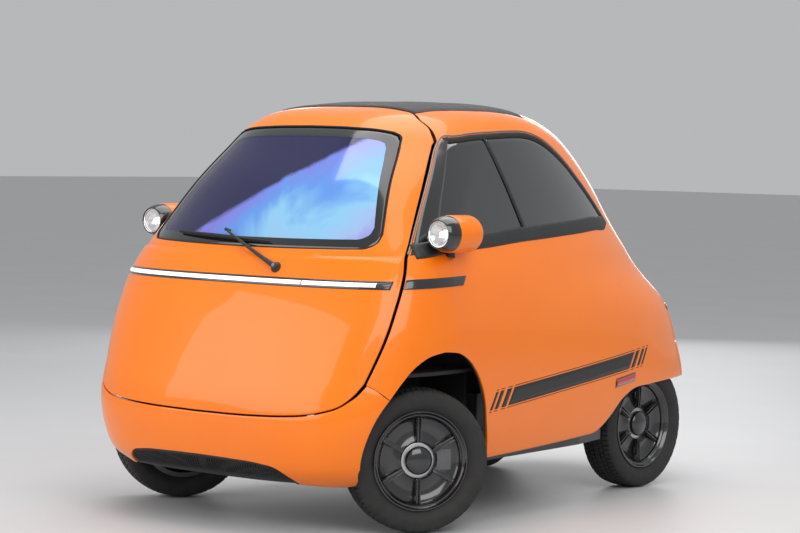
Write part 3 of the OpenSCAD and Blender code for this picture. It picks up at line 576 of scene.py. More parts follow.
def screenWithPaintedReflection():
    # Laminated screen with a heat coating; a painted reflection in blue and violet, which also glows
    # faintly, covers its lower part towards +X
    f = Finish("windscreen with painted reflection")
    x, z = f.axes()[::2]
    folds = f.noise(2.6, 4, 0.55, distortion=1.0)
    fine = f.noise(9, 3)
    # The painted reflection covers the screen below a slanting line, its border made wavy by the noise
    edge = x * 0.62 + 1.2 - z + folds * 0.1 - 0.05 + fine * 0.008
    paintedReflectionMask = edge.maths("MULTIPLY", edge, 45, clamp=True)
    # Colours of the painted reflection, from violet through blue to pale blue
    paintedReflectionTint = f.tints(folds * 0.6 + (x + 0.4) * 0.45 - (z - 1.15) * 0.7,
                  (0.18, (0.12, 0.07, 0.6)), (0.34, (0.24, 0.17, 0.72)), (0.5, (0.12, 0.33, 0.85)),
                  (0.62, (0.28, 0.62, 0.9)), (0.78, (0.38, 0.52, 0.85)), (0.95, (0.3, 0.2, 0.7)))
    # The painted reflection: a glossy surface in these colours with a faint glow, though the screen is no
    # lamp
    mirror = f.surface(Base_Color=paintedReflectionTint, Roughness=0.1 + folds * 0.08, Metallic=0.25, Emission_Color=paintedReflectionTint,
                       Emission_Strength=0.06, Coat_Weight=1.0, Coat_Roughness=0.02)
    clear = f.surface(Base_Color=(0.012, 0.012, 0.09), Roughness=0.02 + folds * 0.02, Alpha=0.62,
                      Coat_Weight=1.0, Coat_Roughness=0.01)
    return f.done(f.node("ShaderNodeMixShader", None, paintedReflectionMask * 0.92, clear, mirror))


def segmentedLight():
    # Two joints cross the strip, and its left-hand end has no lamp
    f = Finish("white light strip")
    x = f.axes()[0]

    def near(at):
        return x.maths("LESS_THAN", x.maths("ABSOLUTE", x - at), 0.0022)
    dark = x.maths("MAXIMUM", near(-0.56), near(0.335))
    dark = dark.maths("MAXIMUM", dark, x > 0.598)
    ripple = f.node("ShaderNodeTexWave", {"bands_direction": "X"}, f.place(), Scale=60.0, out="Fac")
    tint = f.between(ripple * 0.3, (1.0, 0.97, 0.92), (0.92, 0.9, 0.86))
    tint = f.between(dark, tint, (0.02, 0.02, 0.022))
    return f.done(f.surface(Base_Color=tint, Roughness=0.16 + ripple * 0.05, Emission_Color=tint,
                            Emission_Strength=0.75, Coat_Weight=1.0, Normal=f.bump(ripple, 0.1, 0.0005)))


def glow(name, colour, strength, rib):
    f = Finish(name)
    ripple = f.node("ShaderNodeTexWave", {"bands_direction": "X"}, f.place(), Scale=rib, out="Fac")
    tint = f.between(ripple * 0.4, colour, tuple(min(c * 1.15, 1) for c in colour))
    return f.done(f.surface(Base_Color=tint, Roughness=0.15, Emission_Color=tint, Emission_Strength=strength,
                            Coat_Weight=1.0, Normal=f.bump(ripple, 0.1, 0.0005)))


paint = orangePaint()
trim = plastic("satin black plastic", (0.012, 0.012, 0.013), 0.42)
rubber = plastic("rubber seal", (0.009, 0.009, 0.009), 0.62, 300, 0.2)
glossBlack = plastic("gloss black paint", (0.006, 0.006, 0.007), 0.12, 900, 0.02, 1.0)
housingPlastic = plastic("housing plastic", (0.01, 0.01, 0.011), 0.7, 240, 0.4)
cabinPlastic = plastic("cabin lining", (0.035, 0.036, 0.038), 0.62, 520, 0.35)
chassisPaint = plastic("chassis paint", (0.02, 0.02, 0.022), 0.38, 160, 0.15, 0.3)
foilBlack = plastic("stripe film", (0.008, 0.008, 0.008), 0.32, 600, 0.03)
satinSteel = metal("satin trim", (0.3, 0.3, 0.31), 0.36)
discSteel = metal("brake disc steel", (0.6, 0.6, 0.61), 0.3, (600, 600, 600), 0.12)
castAlloy = metal("cast alloy", (0.55, 0.56, 0.58), 0.42, (130, 130, 130), 0.5)
chrome = metal("lamp chrome", (0.85, 0.86, 0.87), 0.06, (60, 60, 60), 0.02)
castIron = metal("cast iron", (0.2, 0.2, 0.205), 0.5, (160, 160, 160), 0.6)
tyreBlack = tyreRubber()
seatCloth = weave("seat cloth", (0.016, 0.017, 0.019), (0.06, 0.062, 0.068), 900)
roofCloth = weave("roof canvas", (0.008, 0.008, 0.009), (0.028, 0.028, 0.03), 1300, 0.8, 0.25)
gripHide = plastic("grip leather", (0.012, 0.012, 0.012), 0.48, 420, 0.6)
sideGlass = tintedGlass("tinted side glass", (0.012, 0.013, 0.015), 0.03, 0.93)
rearGlass = tintedGlass("tinted rear glass", (0.008, 0.009, 0.011), 0.03, 0.93)
lampGlass = tintedGlass("clear lamp glass", (0.75, 0.78, 0.8), 0.02, 0.16)
screenGlass = screenWithPaintedReflection()
whiteLight = segmentedLight()
redLight = glow("red light strip", (0.55, 0.008, 0.006), 0.35, 90)
fritBlack = plastic("screen border", (0.004, 0.004, 0.005), 0.1, 900, 0.01, 1.0)
lampBowl = metal("lamp reflector", (0.8, 0.8, 0.79), 0.12, (90, 90, 90), 0.03)
lampGlow = glow("lamp light", (1.0, 0.95, 0.85), 4.0, 60)
batteryCase = metal("battery case", (0.5, 0.51, 0.53), 0.45, (300, 30, 300), 0.2)
# The reflector is no lamp; its faint emission is a painted glow
redReflectorWithPaintedGlow = glow("red reflector with painted glow", (0.45, 0.006, 0.004), 0.05, 160)
print("finishes made")


# Outlines shared by the panels, in millimetres on the bubble
roofEdge = {"half": 335, "front": -508, "back": 130, "hatchFront": 250, "hatchHalf": 275}
seam = {"gap": 7, "hair": 0.8}
doorTop = [(-536, 1353), (-646, 1239), (-739, 1133), (-824, 1028), (-880, 956)]
doorLow = [(-880, 956), (-933, 859), (-971, 782), (-1008, 699), (-1047, 616), (-1087, 533)]
doorCorner = [(-530, 1428), (-526, 1400), (-536, 1353)]
doorFoot = [(0, 407), (261, 411), (404, 418), (459, 423), (524, 436), (580, 459), (613, 496)]
bumperEnd = [(-1087, 533), (-1058, 512), (-1020, 480)]
hatchSide = [(275, roofZ(275, 250)), (278, 1300), (285, 1180), (303, 1060), (345, 920), (390, 780),
             (420, 660), (430, 565)]
hatchLine = evenly(hatchSide, 12)
skirtCorner = (430, 427)
archShape = {"centre": -774, "reach": 292, "rise": 384, "foot": 250}
windowTop = [(-440, 1368), (-330, 1379), (-200, 1386), (-80, 1391), (20, 1391), (120, 1377), (220, 1343),
             (320, 1288)]
windowRear = [(320, 1288), (410, 1222), (500, 1155), (585, 1088), (630, 1050)]
windowFront = [(-826, 960), (-784, 1016), (-700, 1121), (-608, 1226), (-500, 1340)]
windowFoot = [(630, 1050), (590, 1037), (450, 1033), (300, 1026), (100, 1018), (-60, 1011), (-200, 1005),
              (-300, 999), (-400, 992), (-560, 984), (-700, 976), (-826, 960)]
doorGlass = [(0, 1405), (200, 1401), (330, 1392), (366, 1386)]
doorGlassSide = [(366, 1386), (396, 1371), (412, 1340), (468, 1210), (515, 1090), (538, 1030)]
doorGlassCorner = [(538, 1030), (536, 1000), (515, 984), (470, 980), (400, 978)]


def arch(angle):
    c, s = math.cos(math.radians(angle)), math.sin(math.radians(angle))
    return (archShape["centre"] - archShape["reach"] * abs(c) ** 0.9 * (1 if c > 0 else -1),
            archShape["foot"] + archShape["rise"] * s)


def across(pts):
    return [(sideX(y, z), z) for y, z in pts]


def roofLine(half, y):
    return [(half * i / 6, roofZ(half * i / 6, y)) for i in range(7)]


def behind(pts):
    return [(rearY(x, z), z) for x, z in pts]


def sideLoops(fine):
    e = roofEdge

    def headPoint(t):
        y = e["back"] + (e["hatchFront"] - e["back"]) * t
        return y, roofZ(e["half"] + (e["hatchHalf"] - e["half"]) * t, y)
    roofRun = [e["front"] + (e["back"] - e["front"]) * i / 8 for i in range(9)]
    sill = [(-450, 236), (-229, 242), (0, 250), (200, 258)]
    skirt = [(200, 258), (310, 268), (400, 318), (480, 378), (564, 412), (715, 422), (860, 426),
             (rearY(*skirtCorner), skirtCorner[1])]
    archBack = [arch(a) for a in (90, 104, 118, 132, 146, 160)] + [(-450, 236)]
    archFront = [arch(a) for a in (46, 60, 74, 88)]
    edge = outline([
        ([(y, roofZ(e["half"], y)) for y in roofRun], 10),
        ([headPoint(i / 3) for i in range(4)], 4),
        (behind(hatchLine[:7]), 8),
        (behind(hatchLine[6:]), 8),
        (behind([(430, 565), skirtCorner]), 2),
        (skirt[::-1], 12),
        (sill[::-1], 6),
        (archBack[::-1], 12),
        (archFront[::-1] + [(-1020, 480)], 7),
        (bumperEnd[::-1], 2),
        (doorLow[::-1], 7),
        (doorTop[::-1], 9),
        ([(-536, 1353), (-526, 1400), (-530, 1428), (e["front"], roofZ(e["half"], e["front"]))], 3)], fine)
    g = seam["gap"]
    gaps = edgeList([(13, 0), (1, 0), (16, g / 2), (41, 0), (18, g / 2), (1, g / 4)], fine)
    opening = outline([
        (windowTop, 14), (windowRear, 8), (windowFoot[:4], 10), (windowFoot[3:6], 12), (windowFoot[5:8], 6),
        (windowFoot[7:10], 12), (windowFoot[9:11], 9), (windowFoot[10:], 7), (windowFront, 9),
        ([(-500, 1340), (-485, 1360), (-440, 1368)], 3)], fine)
    return opening, inset(edge, gaps)


def doorLoops(fine):
    half = outline([
        (roofLine(roofEdge["half"], roofEdge["front"]) + across(doorCorner), 8),
        (across(evenly(doorTop, 9)), 8),
        (across(evenly(doorLow, 7)), 8),
        ([(sideX(-1087, 533), 533)] + doorFoot[::-1], 10)], fine) + [doorFoot[0]]
    g = seam["gap"]
    gaps = edgeList([(6, g / 11), (2, g / 9), (26, g / 2)], fine)
    glass = outline([
        (doorGlass, 8), (doorGlassSide, 8), (doorGlassCorner, 8),
        ([(400, 978), (200, 975), (0, 974)], 10)], fine) + [(0, 974)]
    return mirroredLoop(glass), inset(mirroredLoop(half), gaps + gaps[::-1])


def hatchLoops(fine):
    top = roofLine(roofEdge["hatchHalf"], roofEdge["hatchFront"])
    half = outline([(top, 6), (hatchLine, 12), ([(430, 565), (0, 565)], 7)], fine) + [(0, 565)]
    g = seam["gap"]
    gaps = edgeList([(5, g / 11), (20, g / 2)], fine)
    glass = outline([
        ([(0, 1330), (110, 1328), (165, 1320)], 6),
        ([(165, 1320), (190, 1300), (212, 1200), (238, 1080), (240, 1046)], 12),
        ([(240, 1046), (225, 1024), (160, 1016), (0, 1012)], 7)], fine) + [(0, 1012)]
    return mirroredLoop(glass), inset(mirroredLoop(half), gaps + gaps[::-1])


def rise(t):
    t = min(max(t, 0), 1)
    return t * t * (3 - 2 * t)


shell = {"fine": 4, "rows": 30, "wall": 20, "headCols": 40, "soft": 1.6}


def bodyShell():
    f = shell["fine"]
    opening, edge = sideLoops(f)
    left = ringGrid(opening, edge, shell["rows"], onSide, edge=shell["soft"])

    def between(line, place):
        # A strip of panel from one side to the other
        def where(i, v):
            y, z = line[i]
            t = 2 * v - 1
            x = sideX(y, z) * t
            return Vector((x, y, z)) / 1000 if abs(t) > 0.999 else place(x, y, z)
        return outwards(bentGrid(len(line) - 1, shell["headCols"], where))
    header = between(edge[10 * f:14 * f + 1], lambda x, y, z: onRoof(x, y))
    rearSkirt = between(edge[30 * f:32 * f + 1], lambda x, y, z: onRear(x, z))
    bm = join(left, flipped(left), header, rearSkirt)
    bmesh.ops.remove_doubles(bm, verts=bm.verts, dist=0.0004)
    piece("body_shell", bm, [paint, cabinPlastic], "root",
          ("left_side_panel", "right_side_panel", "roof_header", "rear_panel"), "body_orange",
          wall=shell["wall"], inner=1)


bodyShell()
print("body shell made")

door = {"fine": 4, "rows": 56, "wall": 26, "soft": 1.6, "ledge": 950, "ledgeRise": 5}


def frontDoor():
    glass, edge = doorLoops(door["fine"])

    def relief(p, v):
        groove = 2.5 * math.exp(-((p[1] - door["ledge"] - 8) / 6) ** 2)
        return (door["ledgeRise"] * rise((door["ledge"] - p[1]) / 12 + 0.5) - groove) * rise((1 - v) * 6)
    bm = walledRing(glass, edge, door["rows"], onFront, door["wall"], relief, door["soft"])
    piece("front_door", bm, [paint, cabinPlastic], "front_door", ("door_panel",), "body_orange")


frontDoor()
print("door made")

hatch = {"fine": 4, "rows": 30, "wall": 24, "soft": 1.6}


def rearHatch():
    glass, edge = hatchLoops(hatch["fine"])
    piece("rear_hatch", walledRing(glass, edge, hatch["rows"], onRear, hatch["wall"], edge=hatch["soft"]),
          [paint, cabinPlastic], "rear_hatch", ("hatch_panel",), "body_orange")


rearHatch()
print("hatch made")


# Bumper and grille
bumper = {"fine": 4, "rows": 16, "wall": 20, "soft": 4}
grilleTop = [(0, 255), (150, 253), (290, 246), (345, 236), (385, 205), (402, 178)]
grille = {"cols": 360, "rows": 14, "set": 6, "depth": 9, "pitch": 12, "reach": 385}


def frontBumper():
    f = bumper["fine"]
    foot = evenly(doorFoot + [(sideX(-1087, 533), 533)], 12 * f)
    corner = evenly(across(bumperEnd), 3 * f)
    low = evenly(grilleTop, 7 * f)
    rail = evenly([(402, 178), (470, 173), (530, 174), (548, 178)], 5 * f)
    tip = evenly([(548, 178), (580, 204), (607, 243)], 3 * f)
    topHalf, lowHalf = foot + corner[1:], low + rail[1:] + tip[1:]
    n = len(topHalf)
    g, h = seam["gap"] / 2, seam["hair"] * 1.2
    gap = edgeList([(11, g), (1, g + 3), (3, h)], f)
    right = [(-x, z) for x, z in lowHalf[1:]] + [(-x, z) for x, z in topHalf[:0:-1]]
    loop = inset(topHalf + lowHalf[::-1] + right, gap + [0] * (2 * n) + gap[::-1])
    top = loop[len(loop) - n + 1:] + loop[:n]
    bottom = loop[3 * n - 2:2 * n - 1:-1] + loop[2 * n - 1:n - 1:-1]
    piece("front_bumper_skin", bandGrid(bottom, top, bumper["rows"], onFront), [paint, housingPlastic],
          "root", ("front_bumper",), "body_orange", wall=bumper["wall"], inner=1, soft=bumper["soft"])


def bumperGrille():
    g = grille
    half = evenly(grilleTop, g["cols"] // 2)
    top = [(-x, z - 3) for x, z in half[:0:-1]] + [(x, z - 3) for x, z in half]
    low = [(x * 0.97, 177 if z > 190 else 173) for x, z in top]

    def ribs(p, v):
        deep = rise((min(v, 1 - v) - 0.08) * 12) * rise((g["reach"] - abs(p[0])) / 12)
        rib = 0.5 + 0.5 * math.cos(math.tau * p[0] / g["pitch"])
        return -g["set"] - deep * g["depth"] * (1 - 0.85 * rise((rib - 0.55) * 5))
    piece("grille_ribs", bandGrid(low, top, g["rows"], onFront, ribs), trim, "root", ("bumper_grille",),
          "trim_black", wall=8, sharp=60)


frontBumper()
bumperGrille()
print("bumper made")


# Glass, seals and bands
glassSet = {"depth": 3, "thick": 5, "rows": 14, "fit": 0.6, "sealOut": 5, "sealIn": 11, "proud": 3}


def paneGrid(loop, rows, place, depth, centre=None):
    # A pane with its points drawn in to the middle
    c = centre or (sum(p[0] for p in loop) / len(loop), sum(p[1] for p in loop) / len(loop))
    return ringGrid([c] * len(loop), loop, rows, place, lambda p, v: -depth)


def roundSeal(name, loop, place, body, inner, outer, proud, finish, slot=None, deep=2):
    # A rounded strip of rubber round a closed edge
    def bulge(p, v):
        return -deep + (proud + deep) * hump(v, 0.5)
    piece(name, ringGrid(inset(loop, inner), inset(loop, -outer), 8, place, bulge), finish, body, slot=slot,
          wall=3, sharp=70)


def screen():
    loop = inset(doorLoops(2)[0], glassSet["fit"])
    g = glassSet
    clear, rim = [(x * 0.93, 1188 + (z - 1188) * 0.84) for x, z in loop], inset(loop, 0.4)
    bm = paneGrid(clear, g["rows"], onFront, g["depth"], (0, 1190))
    border = ringGrid(clear, rim, 3, onFront, lambda p, v: -g["depth"])
    for face in border.faces:
        face.material_index = 1
    bm = join(bm, border)
    bmesh.ops.remove_doubles(bm, verts=bm.verts, dist=2e-5)
    piece("windscreen_glass", bm, [screenGlass, fritBlack], "front_door", ("windscreen",), "side_glass",
          wall=g["thick"])
    roundSeal("windscreen_seal", loop, onFront, "front_door", 3, 1.5, 0.8, rubber, "trim_black", 3)


def backLight():
    loop, g = hatchLoops(2)[0], glassSet
    piece("rear_glass", paneGrid(inset(loop, g["fit"]), g["rows"], onRear, g["depth"]), rearGlass,
          "rear_hatch", ("rear_window",), "side_glass", wall=g["thick"])
    roundSeal("rear_window_seal", loop, onRear, "rear_hatch", g["sealIn"], g["sealOut"], g["proud"], rubber,
              "trim_black")


windowSet = {"rows": 12, "fit": 1.2, "sillHigh": 44}


def sideGlazing():
    w = windowSet
    frontPane = (evenly([(-497, 1338), (-481, 1355), (-438, 1366), windowTop[1], (-276, 1383)], 28),
                 evenly([(-826, 960), (-700, 976), (-600, 982), (-400, 992), (-200, 1005), (-144, 1008)],
                        28))
    rearPane = (evenly([(-272, 1383)] + windowTop[2:8] + windowRear[1:4] + [(621, 1057)], 52),
                evenly([(-140, 1008), (0, 1013), (230, 1023), (450, 1033), (585, 1037), (603, 1042)], 52))
    panes = []
    for top, foot in (frontPane, rearPane):
        loop, n = inset(top + foot[::-1], w["fit"]), len(top)
        panes.append(bandGrid(loop[:n], loop[:n - 1:-1], w["rows"], onSide, lambda p, v: -glassSet["depth"]))
    bothSides("window_glass", join(*panes), sideGlass, "side_glass", "side_windows", wall=glassSet["thick"])

    pillar = [(-866, 962), (-815, 1026), (-730, 1130), (-637, 1236), (-527, 1348), (-500, 1366)]
    trimLine = evenly(pillar + [(y, z + 1) for y, z in windowTop] + windowRear[1:], 130)
    bright = bandGrid(shifted(trimLine, 3), shifted(trimLine, 9), 3, onSide,
                      lambda p, v: 0.3 + 2.6 * hump(v))
    bothSides("window_trim", bright, satinSteel, "trim_black", wall=1.5, sharp=70)
    topLine = evenly(pillar[-1:] + windowTop + windowRear[1:], 90)
    seal = bandGrid(shifted(topLine, 3), shifted(topLine, -17), 5, onSide,
                    lambda p, v: -2.5 + 4.2 * hump(min(v + 0.12, 1), 0.6))
    bothSides("window_seal", seal, rubber, "trim_black", wall=2.5, sharp=70)
    foot = evenly([(-850, 958)] + windowFoot[::-1], 90)
    sill = bandGrid([(y, z - 8 * rise((635 - y) / 60)) for y, z in foot],
                    [(y, z + w["sillHigh"] * rise((640 - y) / 70)) for y, z in foot], 8, onSide,
                    lambda p, v: 0.6 + 4.4 * hump(v, 0.35))
    bothSides("window_sill", sill, trim, "trim_black", wall=3, sharp=70)
    inner = [(-735, 978), (-700, 1050), (-650, 1133), (-611, 1184), (-545, 1270), (-470, 1372)]
    bothSides("window_band", strip(pillar, inner, 30, 6, lambda p, v: 0.9), glossBlack, "trim_black",
              wall=3.2)
    bar = strip([(-281, 1384), (-151, 1006)], [(-267, 1384), (-135, 1006)], 20, 3,
                lambda p, v: 1.5 * hump(v) - 1)
    bothSides("window_divider", bar, rubber, "trim_black", wall=3, sharp=70)
    latch = moved(lathe([(-2, 0), (-2, 17), (4, 17), (6, 15), (6, 9), (9, 8), (11, 6), (11, 0)], 40),
                  Matrix.Translation(lifted(onSide, (-470, 1060), -1)) @ Matrix.Rotation(0.12, 4, "Z"))
    bothSides("window_latch", latch, glossBlack, "trim_black", sharp=30)


def shifted(line, d):
    # An open line moved sideways by d
    out = []
    for i, p in enumerate(line):
        a, b = line[max(i - 1, 0)], line[min(i + 1, len(line) - 1)]
        size = max(math.hypot(b[0] - a[0], b[1] - a[1]), 1e-9)
        out.append((p[0] - (b[1] - a[1]) / size * d, p[1] + (b[0] - a[0]) / size * d))
    return out


screen()
backLight()
sideGlazing()
print("glass made")

# Light strips, badge bars, stripes and reflectors
bars = {"frontHigh": 860, "frontReach": 634, "tailHigh": 706, "tailReach": 395, "surround": 15, "lit": 7.5}


def lightStrip(name, reach, z, place, body, node, finish, slot, up=0):
    xs = [reach * i / 90 for i in range(-90, 91)]

    def bar(half, rows, height):
        return bandGrid([(x, z - half(x)) for x in xs], [(x, z + half(x)) for x in xs], rows, place, height)
    back = bar(lambda x: bars["surround"] - 0.3, 8, lambda p, v: up + 0.4 + 2.2 * hump(v, 0.4))
    # The lit part narrows at its ends
    lit = bar(lambda x: bars["lit"] * (0.6 + 0.4 * rise((reach - abs(x)) / 14)), 6,
              lambda p, v: up + 2 + 2 * hump(v, 0.5))
    piece(name + "_surround", back, glossBlack, body, (node,), "housing_black", wall=3, sharp=70)
    piece(name, lit, finish, body, slot=slot, wall=2, sharp=70)


lightStrip("front_light_strip", bars["frontReach"], bars["frontHigh"], onFront, "front_door",
           "front_light_bar", whiteLight, "light_white", door["ledgeRise"])
lightStrip("tail_light_strip", bars["tailReach"], bars["tailHigh"], onRear, "rear_hatch", "tail_light_bar",
           redLight, "light_red")

stripe = {"corners": [(-489, 402), (634, 498), (-451, 482), (696, 576)],
          "bars": [(0, 0.014), (0.027, 0.047), (0.066, 0.093), (0.106, 0.894), (0.907, 0.934),
                   (0.953, 0.973), (0.986, 1)],
          "tiers": [(0, 0.035), (0.1, 0.9), (0.965, 1)]}


def sideMarks():
    a, b, c, d = stripe["corners"]
    films = []
    for s, t in stripe["bars"]:
        for low, high in stripe["tiers"]:
            n = 60 if t - s > 0.2 else 2
            steps = [s + (t - s) * i / n for i in range(n + 1)]
            edge = [[mix(mix(a, b, u), mix(c, d, u), v) for u in steps] for v in (low, high)]
            films.append(bandGrid(edge[0], edge[1], 4 if high - low > 0.2 else 1, onSide, lambda p, v: 0.5))
    badge = strip([(-934, 849), (-780, 854), (-659, 858)], [(-914, 882), (-770, 887), (-630, 891)], 20, 4,
                  lambda p, v: 3.2 if 0.01 < v < 0.99 else 2.6)
    glim = strip([(418, 433), (572, 449)], [(420, 459), (574, 475)], 20, 6,
                 lambda p, v: 1 + 4 * hump(v, 0.5))
    rim = strip([(414, 429), (576, 445)], [(416, 463), (578, 479)], 20, 4, lambda p, v: 1.4)
    bothSides("stripe", join(*films), foilBlack, "trim_black", wall=0.4)
    bothSides("badge_bar", badge, glossBlack, "trim_black", wall=3, soft=1)
    bothSides("reflector", glim, redReflectorWithPaintedGlow, "light_red", wall=2, sharp=70)
    bothSides("reflector_rim", rim, glossBlack, "trim_black", wall=1.4)


sideMarks()
print("light strips and marks made")

# Lamp pods
pod = {"along": -700, "high": 957, "out": 30, "up": 80, "long": 206, "radius": 65, "steps": 72,
       "bulbSteps": 32}


def lampPods():
    foot = Vector((sideX(pod["along"], pod["high"]), pod["along"], pod["high"])) / 1000
    centre = foot + Vector((pod["out"], 0, pod["up"])) / 1000
    nose = centre - Vector((0, pod["long"] / 2000, 0))
    turn = Matrix.Translation(nose) @ Matrix.Rotation(math.pi / 2, 4, "Z")
    r, long = pod["radius"], pod["long"]
    back = [(long - 55 + 55 * math.sin(a), r * math.cos(a))
            for a in [math.radians(7.5 * k) for k in range(13)]]
    bezel = [(60, 20), (50, 20), (50, r - 1.5), (30, r - 3), (14, r - 8), (6, r - 12), (1.5, r - 15),
             (0, r - 16.5), (1.5, r - 18), (5, r - 18.5), (9, r - 20)]
    ring = [(8, 46.5), (4, 46.2), (2.2, 44.6), (2.4, 42.8), (4.5, 42), (9, 41.5)]
    bowl = [(8, 42), (13, 38), (21, 30), (28, 19), (32, 10), (33, 0)]
    bulb = [(32, 9), (22, 9), (18, 8), (15.5, 5), (15, 0)]
    lens = [(4.5, 42.2), (3, 39), (1.6, 30), (0.8, 18), (0.5, 0)]

    def turned(part, line, finish, slot, stands=None, wall=0, steps=pod["steps"]):
        bothSides("pod_" + part, moved(lathe(line, steps), turn), finish, slot, stands, wall=wall, sharp=50)
    turned("shell", [(52, r - 3), (53.5, r - 0.6), (56, r)] + back, paint, "pod_gloss", "lamp_pod", 2.5)
    turned("bezel", bezel, glossBlack, "pod_gloss")
    turned("ring", ring, chrome, "lamp_glass", wall=1.2)
    turned("bowl", bowl, lampBowl, "lamp_glass", wall=1.2)
    turned("bulb", bulb, lampGlow, "light_white", steps=pod["bulbSteps"])
    turned("lens", lens, lampGlass, "lamp_glass", "lamp_lens", 1.5)
    aim = (foot - centre).normalized()
    # The foot swells where it meets the body and the pod
    stalk = rod([centre + aim * 0.04 + aim * ((foot - centre).length - 0.043) * i / 10 for i in range(11)],
                15, 24, lambda t: 0.85 + 0.45 * (2 * t - 1) ** 2)
    bothSides("pod_stalk", stalk, trim, "pod_gloss", sharp=50)


lampPods()
print("lamp pods made")

# Wiper
wiper = {"pivot": (205, 906), "clip": (-95, 1020), "bladeFrom": (-345, 1008), "bladeTo": (130, 990)}


def wiperParts():
    base, clip = wiper["pivot"], wiper["clip"]

    def along(a, b, low, high, n, bow=0):
        return [lifted(onFront, mix(a, b, i / n), low + (high - low) * i / n + bow * hump(i / n))
                for i in range(n + 1)]
    normal = (lifted(onFront, base, 20) - lifted(onFront, base, 0)).normalized()
    lean = Vector((1, 0, 0)).rotation_difference(normal).to_matrix().to_4x4()
    seat = Matrix.Translation(lifted(onFront, base, 4)) @ lean
    cap = moved(lathe([(0, 0), (0, 20), (5, 19), (7, 15), (12, 14), (16, 12), (18, 8), (18.5, 0)], 40), seat)
    nut = moved(lathe([(18, 0), (18, 7.5), (22, 7.5), (23, 6), (23, 0)], 6), seat)
    arm = rod(along(base, clip, 14, 17, 14), 6.5, 14, lambda t: 1.25 - 0.65 * t)
    knuckleEnd = rod(along(mix(base, clip, 0.02), mix(base, clip, 0.2), 13.5, 15, 5), 10, 16,
                     lambda t: 1 - 0.25 * t)
    carrier = rod(along(wiper["bladeFrom"], wiper["bladeTo"], 10, 10, 24, 4), 5, 10,
                  lambda t: 0.5 + 0.6 * hump(t))
    lip = rod(along(wiper["bladeFrom"], wiper["bladeTo"], 4.5, 4.5, 24, 0), 3, 8)
    hook = rod(along(clip, mix(clip, wiper["bladeTo"], 0.1), 16, 12, 4, 3), 6, 12)
    piece("wiper_arm", join(arm, knuckleEnd, cap, hook), trim, "front_door", ("wiper",), "wiper_rubber",
          sharp=45)
    piece("wiper_blade", join(carrier, lip), rubber, "front_door", slot="wiper_rubber", sharp=45)
    piece("wiper_nut", nut, satinSteel, "front_door", slot="bar_metal", sharp=30)


wiperParts()
print("wiper made")

# Wheels, built about the X axis with +X facing out of the car
wheel = {"king": (0.567135, -0.756), "offset": 0.025, "rest": 29, "rear": (0.395, 0.798), "radius": 252,
         "pitches": 78, "groove": 6, "spokes": 6, "steps": 96}


def wheelPlaces():
    w = wheel
    for side, name in ((1, "left"), (-1, "right")):
        turn = math.radians((0 if side > 0 else 180) - w["rest"])
        kingPin = Matrix.Translation((side * w["king"][0], w["king"][1], 0)) @ Matrix.Rotation(turn, 4, "Z")
        yield "front_" + name, kingPin @ Matrix.Translation((w["offset"], 0, w["radius"] / 1000))
        axle = Matrix.Translation((side * w["rear"][0], w["rear"][1], w["radius"] / 1000))
        yield "rear_" + name, axle @ Matrix.Rotation(0 if side > 0 else math.pi, 4, "Z")


def treadedTyre():
    w = wheel
    side = smooth([(53.6, 166.6), (53.6, 175.5), (62.6, 185.6), (68.5, 195), (72.3, 206), (72, 222),
                   (70.3, 231), (66.5, 240), (61, 245.5)], 3)
    ribs = [55, 51, 50.5, 36, 35.5, 30.5, 30, 16, 15.5, 10.5, 10, 3]
    crown = [(x, 251.6 - (abs(x) / 55) ** 2.4 * 4.6, i) for i, x in enumerate(ribs)]
    half = [(x, r, None) for x, r in side] + crown
    line = half + [(-x, r, k) for x, r, k in half[::-1]]
    line = line + [(-45, 166.6, None), (0, 166.6, None), (45, 166.6, None), line[0]]
    cols = w["pitches"] * 6
    step = len(line) - 1

    def where(i, v):
        k = round(v * step)
        x, r, mark = line[k]
        angle = math.tau * i / cols
        if mark is not None:
            lane = i % 6
            if ribs[mark] in (35.5, 30.5, 15.5, 10.5):
                r -= w["groove"]
            elif lane == (0 if ribs[mark] > 33 else 3 if ribs[mark] > 12 else 1):
                r -= w["groove"] * 0.75
            if mark < 11:
                angle += math.copysign(0.004 * (55 - ribs[mark]) / 10, x)
        elif 236 < r < 248 and i % 12 in (0, 1):
            r -= 1.6
            x -= math.copysign(1.2, x)
        return Vector((x / 1000, -math.sin(angle) * r / 1000, math.cos(angle) * r / 1000))
    bm = bentGrid(cols, step, where)
    bmesh.ops.recalc_face_normals(bm, faces=bm.faces)
    return bm


def wheelRim():
    ring = lathe([
        (-60, 157.5), (-60, 174.5), (-54.5, 174.5), (-53, 167), (53, 167), (54.5, 174.5), (58.5, 174.5),
        (60, 172.5), (60, 169), (57, 166.5), (52, 163), (50, 160.5), (50, 157), (46, 155), (44, 152),
        (40, 150.5), (24, 149.5), (18, 151), (-56, 157.5), (-60, 157.5)], wheel["steps"])
    dish = lathe([
        (30, 62), (26, 66), (20, 80), (17, 100), (18, 122), (24, 140), (34, 150), (30, 153), (14, 140),
        (12, 100), (15, 78), (22, 62), (30, 62)], wheel["steps"])
    hub = lathe([(8, 0), (8, 46), (36, 50), (40, 49), (44, 45), (49, 36), (52.5, 22), (54, 0)], 72)
    bits = [ring, dish, hub]
    for k in range(wheel["spokes"]):
        turn = Matrix.Rotation(math.tau * k / wheel["spokes"], 4, "X")
        for s in (-1, 1):
            bar = block((18, 5, 86), edge=1.8, segments=2)
            for v in bar.verts:
                t = v.co.z / 0.086 + 0.5
                v.co.x += 0.030 + 0.004 * t
                v.co.y += s * 0.0058
                v.co.z += 0.107
            bits.append(moved(bar, turn))
        web = block((10, 10, 86), edge=1)
        bits.append(moved(web, turn @ Matrix.Translation((0.027, 0, 0.107))))
    return join(*bits)


